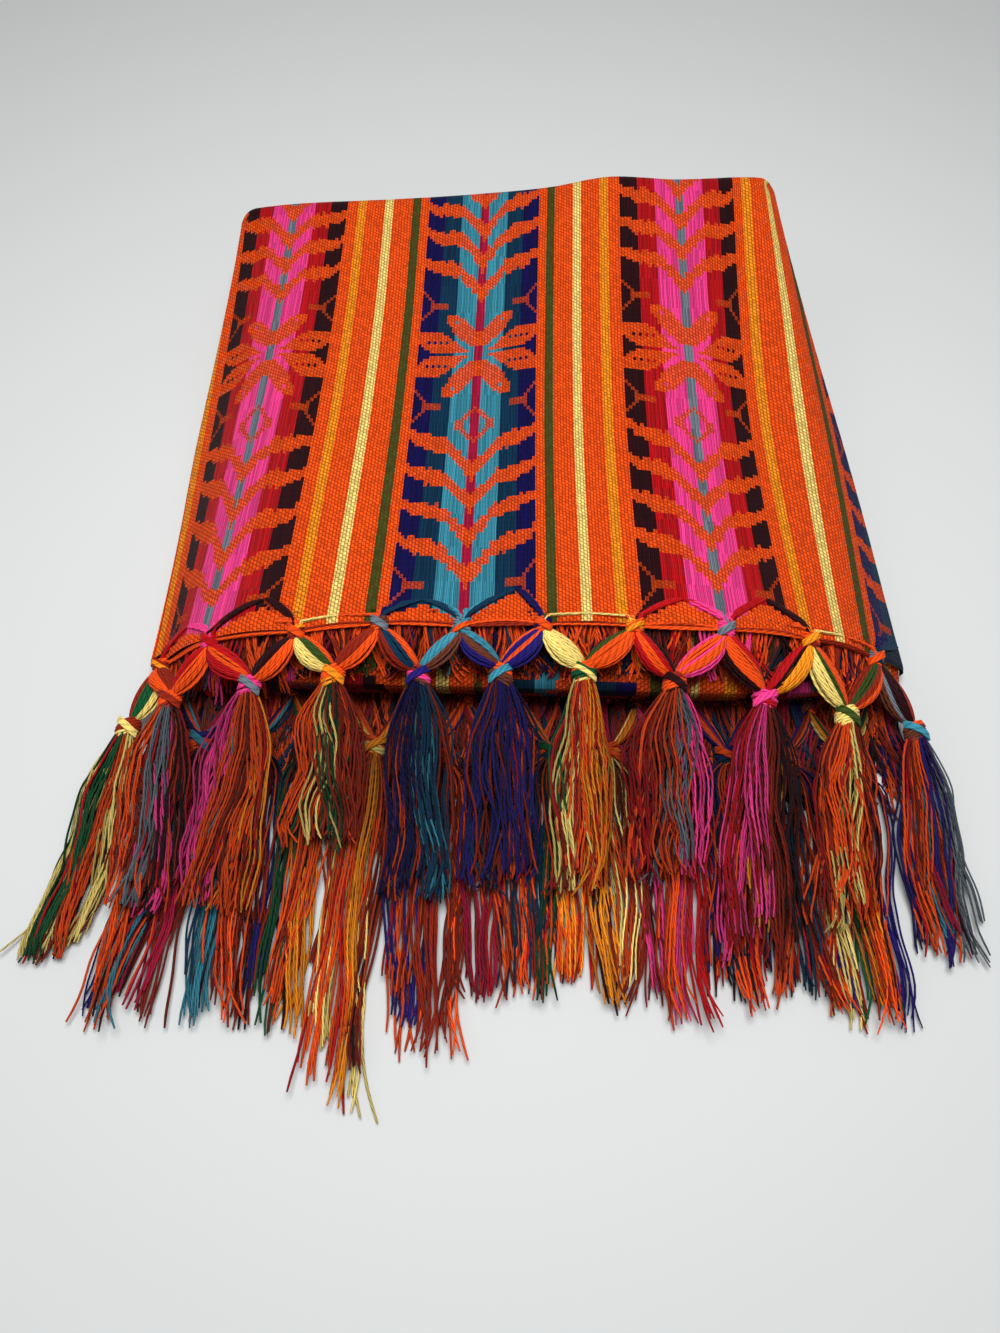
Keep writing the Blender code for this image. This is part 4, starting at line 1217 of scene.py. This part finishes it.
def add_coil(piece, centre, axis, size, names, rng, turns=7, shade=1.0):
    """A knot: turns of yarn wound aslant round a core, with a last turn drawn across them."""
    half_width, half_height, length = size
    axis = unit(axis)
    side = unit(np.cross((0, 0, 1), axis))
    up = np.cross(axis, side)

    def ring(ahead, across, above):
        return centre + axis * ahead[:, None] + side * across[:, None] + up * above[:, None]

    around = np.linspace(0, 2 * math.pi, 15)
    aslant = rng.uniform(0.0008, 0.0020) * rng.choice((-1, 1))
    rings = []
    for turn in range(turns):
        depth = (turn + 0.5) / turns * 2 - 1
        crown = math.sqrt(max(0.2, 1 - (depth * KNOT_ROUND) ** 2)) * rng.uniform(0.94, 1.06)
        ahead = depth * length / 2 + aslant * np.cos(around) + rng.normal(0, 0.0002)
        across = half_width * crown * np.cos(around)
        rings.append(ring(ahead, across, half_height * crown * np.sin(around)))
    swing = np.linspace(-1.0, 1.0, 15)
    arch = np.sqrt(np.clip(1 - (swing * 0.94) ** 2, 0.02, 1))
    for strand in range(CROSSING_YARNS):
        ahead = -np.sign(aslant) * swing * length * 0.36 + (strand - 1) * CROSSING_PITCH
        rings.append(ring(ahead, swing * half_width * 1.02, (half_height + 0.0009) * arch))
    dyes = blend_of(names, len(rings), rng, 0.06) * shade
    piece.add_yarns(np.array(rings), WOUND_YARN_RADIUS, dyes, sides=6)
    # the core inside the turns gets painted shade: 0.6 of its dye
    core = np.linspace(-1, 1, 7)
    path = centre + axis * (core * length * 0.5)[:, None]
    radius = np.sqrt(np.clip(1 - (core * 0.9) ** 2, 0.1, 1)) * min(half_width, half_height) * 0.9
    piece.add_yarns(path[None], radius[None], blend_of(names, 1, rng, 0.0) * 0.6 * shade, sides=8)


UPPER_LOOP = {"half_width": 0.0054, "count": 13, "stations": 13, "thick": 0.0031, "shade": 1.0}
LOWER_LOOP = {"half_width": 0.0026, "count": 8, "stations": 8, "thick": 0.0016, "shade": LOW_KNOT_SHADE}
LOOP_BOW = 0.0022  # how far a loop's middle stands outwards
LOOP_WOBBLE = 0.00025  # of each yarn, out of line


def add_petal(piece, start, end, outward, names, rng, half_width, count, stations, thick, shade):
    """A leaf-shaped loop of parallel yarns between two knots, plump and a little twisted."""
    ahead = unit(end - start)
    flank = unit(np.cross((0, 0, 1), ahead))
    flank = flank if flank[0] * outward > 0 else -flank
    top = np.cross(ahead, flank)
    top = top if top[2] > 0 else -top
    part = np.linspace(0, 1, stations)
    belly = np.sin(math.pi * part) ** 0.62
    twist = rng.normal(0, 0.35) * (part - 0.5) * 2 + rng.normal(0, 0.15)
    place = np.linspace(1, -1, count)[:, None]
    crown = np.sqrt(np.clip(1 - place**2, 0, 1))
    paths = []
    dyes = []
    # the lower layer of each loop gets painted shade: 0.8 of its dye
    for layer, narrow, layer_painted_shade in ((1, 1.0, 1.0), (-1, 0.94, 0.8)):
        off = place * half_width * belly * narrow + rng.normal(0, LOOP_WOBBLE, (count, 1)) * belly
        high = layer * crown * thick * belly + thick * 0.4 * belly
        across = off * np.cos(twist) - high * np.sin(twist) + LOOP_BOW * belly
        above = off * np.sin(twist) + high * np.cos(twist)
        path = start + (end - start) * part[None, :, None]
        paths.append(path + flank * across[..., None] + top * above[..., None])
        dyes.append(blend_of(names, count, rng, 0.04) * (layer_painted_shade * shade))
    piece.add_yarns(np.concatenate(paths), YARN_RADIUS, np.concatenate(dyes))


def make_top_tassel(number, material):
    *knot, tip_x, tip_y, tip_z, half_spread, loops_to = TOP_TASSELS[number]
    strands, coil, left, right = (names.split() for names in TOP_DYES[number])
    rng = np.random.default_rng(700 + number)
    shape = TasselShape(knot, (tip_x, tip_y, tip_z), half_spread, UPPER_HEIGHT)
    piece = Piece()
    add_strands(piece, shape, strands, rng, UPPER_KNOT_PAINTED_SHADE, **UPPER_STRANDS)
    add_coil(piece, shape.knot, shape.forward, TASSEL_KNOT, coil, rng)
    for anchor in loops_to:
        start = top_knot(KNOTS_X[anchor]) + (0, -0.0015, 0)
        side = -1 if start[0] < shape.knot[0] else 1
        names = (left if side < 0 else right) or strands
        add_petal(piece, start, shape.at_knot(-0.40), side, names, rng, **UPPER_LOOP)
    return piece.build(f"yarns_top_{number + 1:02d}", material)


def make_low_tassel(number, material):
    tip_x, tip_y, half_spread, dyes = LOW_TASSELS[number]
    names = dyes.split()
    rng = np.random.default_rng(900 + number)
    knot = (LOW_FIRST_X + LOW_TASSEL_PITCH * number, LOW_KNOT_Y, LOW_KNOT_Z)
    shape = TasselShape(knot, (tip_x, tip_y, LOW_TIP_Z), half_spread, LOWER_HEIGHT)
    piece = Piece()
    add_strands(piece, shape, names, rng, LOWER_KNOT_PAINTED_SHADE, **LOWER_STRANDS)
    add_coil(piece, shape.knot, shape.forward, TASSEL_KNOT, names[:3], rng, shade=LOW_KNOT_SHADE)
    for side, x in ((-1, LOW_KNOTS_X[number]), (1, LOW_KNOTS_X[number + 1])):
        add_petal(piece, low_knot(x), shape.at_knot(-0.40), side, names, rng, **LOWER_LOOP)
    return piece.build(f"yarns_low_{number + 1:02d}", material)


# ---- the heading: the warp's last stretch, its knots, and the cut ends between them

EDGE_ROW = 2  # the row of the weave whose stripes run on into the fringe
FAN_RADIUS = 0.00050
FAN_DRAWN_IN = 0.84  # of the way to its knot, where it leaves the cloth
FAN_RUN = 0.88  # of the way to the cloth's edge
BUNDLE_RADIUS = 0.00066
BUNDLE_WIDTH = 0.0022  # of the floats drawn off beside a tent
EDGE_BUNDLE_YARNS = 8
CUT_END_SPACING = 0.00056
CUT_END_CLUMP = 4
LOW_END_DYES = "rust maroon orange navy rust brown crimson orange teal".split()
LOW_END_LAYERS = (
    # height, longest
    (0.0014, 0.056),
    (0.0026, 0.046),
    (0.0044, 0.052),
    (0.0062, 0.036),
)
LOW_ENDS_FALL = 0.12  # the upper ones hang, with a fall of 1


def add_fan(piece, rng):
    """The warp's last stretch, from the weave's end to the knots."""
    part = np.linspace(0, 1, 6)
    bend = np.sin(math.pi * part) ** 0.7
    first = math.ceil(LEFT_CLOTH_X / CELL_X)
    last = math.floor(RIGHT_FOLD_CLOTH_X[0] / CELL_X)
    for column in range(first, last + 1):
        letter, floats, _ = weave(np.array([column]), np.array([EDGE_ROW]))
        cloth_x = column * CELL_X
        nearest = int(np.argmin(np.abs(KNOTS_CLOTH_X - cloth_x)))
        tent = float(tent_height(np.array(cloth_x)))
        if floats[0] and tent > 0:
            for knot, apex, _ in TENTS:
                left, right = KNOTS_CLOTH_X[knot : knot + 2]
                if left <= cloth_x <= right:
                    nearest = knot if cloth_x < left + apex * (right - left) else knot + 1
            start_y = tent + 0.0012
        elif floats[0]:
            start_y = LOOSE_FLOATS + rng.uniform(-0.0006, 0.0006)
        else:
            start_y = 0.0010
        knot = top_knot(KNOTS_X[nearest])
        radius = BUNDLE_RADIUS if tent > 0 else FAN_RADIUS
        pull = part if tent > 0 else part**1.4
        paths = []
        for side in (-0.6, 0.0, 0.6) if tent > 0 else (-0.5, 0.5):
            x0 = cloth_x + side * CELL_X / 2 + (KNOTS_CLOTH_X[nearest] - cloth_x) * pull * FAN_DRAWN_IN
            x0 = x0 + rng.normal(0, 0.0003) * bend
            y0 = start_y * (1 - part * FAN_RUN)
            if tent > 0:
                y0 = y0 + rng.uniform(0.0, BUNDLE_WIDTH) * bend
            over, _ = top_surface(x0, y0)
            over[:, 2] += radius * 0.8 + rng.uniform(0.0, 0.0014) * part
            end = knot + rng.normal(0, 0.0008, 3) + (0, 0.0006, 0.0012)
            paths.append(np.concatenate([over, [(over[-1] + end) / 2 + (0, 0, 0.0004), end]]))
        shade = rng.uniform(0.80, 1.0, (len(paths), 1))
        piece.add_yarns(paths, radius, np.array(DYES[STRIPE_DYES[letter[0]]]) * shade)


def add_edge_bundles(piece, rng):
    """Thin bundles that run along the weave's end from each knot to the next."""
    part = np.linspace(0, 1, 13)
    bow = np.sin(math.pi * part) ** 0.7
    for left, right in zip(KNOTS_X[:-1], KNOTS_X[1:]):
        a, b = (top_knot(x) + (0, 0, 0.0004) for x in (left, right))
        line = a + (b - a) * part[:, None]
        slip = hem_slip(line[:, 0])
        edge_y = FRONT_Y - EDGE_REACH - 0.0002 + slip[:, 1]
        edge_z = front_edge_z(line[:, 0]) + slip[:, 2] - 0.0010
        paths = np.array([line] * EDGE_BUNDLE_YARNS)
        for path in paths:
            path[:, 1] += (edge_y - path[:, 1]) * bow + rng.normal(0, 0.0006) * bow
            path[:, 2] += (edge_z - path[:, 2]) * bow + rng.normal(-0.0002, 0.0006) * bow
        dyes = blend_of(("orange", "rust", "orange"), EDGE_BUNDLE_YARNS, rng, 0.3)
        piece.add_yarns(paths, YARN_RADIUS * 0.9, dyes)


def add_cut_ends(piece, rng, knots, height_of, front_of, dye_of, fall, longest, bed_of):
    """Short cut ends that hang under an edge between its knots, a few of them together."""
    part = np.linspace(0, 1, 9)
    for left, right in zip(knots[:-1], knots[1:]):
        count = max(CUT_END_CLUMP, round((right - left) / CUT_END_SPACING))
        x = np.sort(rng.uniform(left + 0.001, right - 0.001, count))
        clump = np.arange(count) // CUT_END_CLUMP
        dyes = dye_of(x, clump, rng)
        length = (rng.uniform(0.6, 1.0, count)[clump] * rng.uniform(0.88, 1.05, count) * longest)[:, None]
        lean = (rng.normal(0, 0.24, count)[clump] + rng.normal(0, 0.05, count))[:, None]
        phase = (rng.uniform(0, ANY_ANGLE, count)[clump] + rng.normal(0, 0.4, count))[:, None]
        curl = 0.0009 * np.sin(phase + 7.0 * part) * part
        start_y = (front_of(x) + rng.uniform(0, 0.0030, count))[:, None]
        end_x = x[:, None] + lean * length * part**1.3 + curl
        end_y = start_y - length * part * (1 - 0.25 * fall * part)
        drop = fall * (0.24 * part + 0.46 * part**2) * length + rng.uniform(0, 0.0030, (count, 1)) * fall
        bed = bed_of(end_x, end_y) + YARN_RADIUS + rng.uniform(0, 0.0020, (count, 1))
        end_z = np.maximum(height_of(x)[:, None] - drop - 0.5 * curl, bed)
        path = np.stack([end_x, end_y, end_z], axis=-1)
        piece.add_yarns(path, YARN_RADIUS * 0.95, dyes, sides=4, taper=CUT_TAPER)


def warp_end_dyes(x, clump, rng):
    """Each clump of cut ends has the dye of the stripe above it, or the weft's orange."""
    cloth_x = np.interp(x, SAMPLE_FRONT_X, SAMPLE_CLOTH_X)
    first = np.searchsorted(clump, clump)
    letters, _, _ = weave(np.round(cloth_x[first] / CELL_X).astype(int), np.full(len(x), EDGE_ROW))
    dyes = np.array([DYES[STRIPE_DYES[letter]] for letter in letters])
    for name, share in (("orange", 0.30), ("rust", 0.16)):
        dyes = np.where(rng.random(len(x))[clump][:, None] < share, DYES[name], dyes)
    return dyes * rng.uniform(0.7, 1.0, (len(x), 1))


# Dark dyes for cut ends, darkened further to 0.24 to 0.62 as painted shade where they hang under an edge
def end_dyes_in_painted_shade(x, clump, rng):
    names = rng.integers(0, len(LOW_END_DYES), len(x))[clump]
    return np.array([DYES[LOW_END_DYES[k]] for k in names]) * rng.uniform(0.24, 0.62, (len(x), 1))


def second_leaf_z(x, y):
    """Height of the second leaf's face at the front of the packet, and of nothing past it."""
    edge = front_edge_z(x)
    reach = (FRONT_Y - y) / (FRONT_REACH * edge / SPINE[0][2])
    rising = FRONT_PROFILE[: FRONT_TURNS_AT + 1]
    height = np.interp(reach, column_of(rising, 0), column_of(rising, 1))
    return np.where(reach > 1.02, 0.0, edge * height)


def make_top_heading(material):
    rng = np.random.default_rng(41)
    piece = Piece()
    add_fan(piece, rng)
    add_edge_bundles(piece, rng)
    for depth, longest, dye_of in ((0.0024, 0.030, end_dyes_in_painted_shade), (0.0014, 0.032, warp_end_dyes)):
        add_cut_ends(
            piece,
            rng,
            KNOTS_X,
            lambda x, depth=depth: front_edge_z(x) + hem_slip(x)[..., 2] - depth,
            lambda x: FRONT_Y + hem_slip(x)[..., 1],
            dye_of,
            1.0,
            longest,
            second_leaf_z,
        )
    for x, names in zip(KNOTS_X, HEADING_DYES):
        add_coil(piece, top_knot(x), (0, -1, -0.3), HEADING_KNOT, names.split(), rng, turns=5)
    return piece.build("edge_yarns_top", material)


def make_low_heading(material):
    rng = np.random.default_rng(43)
    piece = Piece()
    for left, right in zip(LOW_KNOTS_X[:-1], LOW_KNOTS_X[1:]):
        a = low_knot(left)
        path = a + (low_knot(right) - a) * np.linspace(0, 1, 7)[:, None]
        paths = path[None] + rng.normal(0, 0.0006, (6, 1, 3))
        piece.add_yarns(paths, YARN_RADIUS, blend_of(("rust", "orange", "maroon"), 6, rng, 0.3))
    ends = LOW_KNOTS_X + [RIGHT_ENDS_X]
    along_low = np.array([low_knot(x)[1] for x in ends])
    for height, longest in LOW_END_LAYERS:
        add_cut_ends(
            piece,
            rng,
            ends,
            lambda x, height=height: np.full(x.shape, height),
            lambda x: np.interp(x, ends, along_low),
            end_dyes_in_painted_shade,
            LOW_ENDS_FALL,
            longest,
            lambda x, y: np.zeros(x.shape),
        )
    names = ("rust", "orange", "brown")
    for x in LOW_KNOTS_X:
        knot = low_knot(x)
        add_coil(piece, knot, (0, -1, 0), HEADING_KNOT, names, rng, turns=4, shade=LOW_HEADING_PAINTED_SHADE)
    return piece.build("edge_yarns_low", material)


# ---- the floor, the light and the camera

FLOOR_HALF = 3.0
FLOOR_COLOUR = (0.60, 0.617, 0.615, 1)
FLOOR_ROUGHNESS = 0.7
WORLD_STRENGTH = 0.33
LIGHTS = (
    # name, place, target, size, power
    ("above", (0.00, -0.10, 0.88), (0, -0.08, 0), 0.5, 8.3),
    ("left", (-1.1, -0.2, 0.9), (0, -0.05, 0), 0.8, 1.2),
)
CAMERA_PLACE = (0.0037, -0.3532, 0.4143)
CAMERA_LENS = 27.0
CAMERA_SENSOR = 36.0
CAMERA_PITCH = 61.03  # degrees below the horizon
CAMERA_YAW = 1.87


def make_floor():
    mesh = bpy.data.meshes.new("floor")
    corners = [(x * FLOOR_HALF, y * FLOOR_HALF, 0) for x, y in ((-1, -1), (1, -1), (1, 1), (-1, 1))]
    mesh.from_pydata(corners, [], [(0, 1, 2, 3)])
    obj = bpy.data.objects.new("floor", mesh)
    bpy.context.scene.collection.objects.link(obj)
    material = bpy.data.materials.new("pale_floor")
    material.use_nodes = True
    shader = material.node_tree.nodes["Principled BSDF"]
    shader.inputs["Base Color"].default_value = FLOOR_COLOUR
    shader.inputs["Roughness"].default_value = FLOOR_ROUGHNESS
    mesh.materials.append(material)


def make_light():
    world = bpy.data.worlds.new("studio")
    world.use_nodes = True
    world.node_tree.nodes["Background"].inputs["Color"].default_value = (1.0, 1.0, 1.0, 1)
    world.node_tree.nodes["Background"].inputs["Strength"].default_value = WORLD_STRENGTH
    bpy.context.scene.world = world
    for name, place, target, size, power in LIGHTS:
        data = bpy.data.lights.new(name, "AREA")
        data.shape = "DISK"
        data.size = size
        data.energy = power
        obj = bpy.data.objects.new(name, data)
        obj.location = place
        obj.rotation_euler = (Vector(target) - Vector(place)).to_track_quat("-Z", "Y").to_euler()
        bpy.context.scene.collection.objects.link(obj)
    bpy.context.scene.view_settings.view_transform = "Standard"


def make_camera():
    data = bpy.data.cameras.new("camera")
    data.lens = CAMERA_LENS
    data.sensor_width = CAMERA_SENSOR
    data.sensor_fit = "AUTO"
    data.clip_start = 0.01
    obj = bpy.data.objects.new("camera", data)
    obj.location = CAMERA_PLACE
    obj.rotation_euler = (math.radians(90 - CAMERA_PITCH), 0, math.radians(CAMERA_YAW))
    bpy.context.scene.collection.objects.link(obj)
    bpy.context.scene.camera = obj


def main():
    cloth = cloth_material()
    yarn = yarn_material()
    leaf = make_top_leaf(cloth)
    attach(leaf, "root")
    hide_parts("cloth_top")
    under = make_under_leaves(cloth)
    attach(under, "root")
    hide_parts("folded_layers")
    for piece, node in (
        (make_top_heading(yarn), "fringe_heading_top"),
        (make_low_heading(yarn), "fringe_heading_low"),
    ):
        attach(piece, "root")
        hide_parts(node)
    for make, slots, end in ((make_top_tassel, TOP_SLOTS, "top"), (make_low_tassel, LOW_SLOTS, "low")):
        for number, name in enumerate(slots):
            piece = make(number, yarn)
            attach(piece, "root")
            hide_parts(f"tassel_{end}_{number + 1:02d}")
    make_floor()
    make_light()
    make_camera()


main()
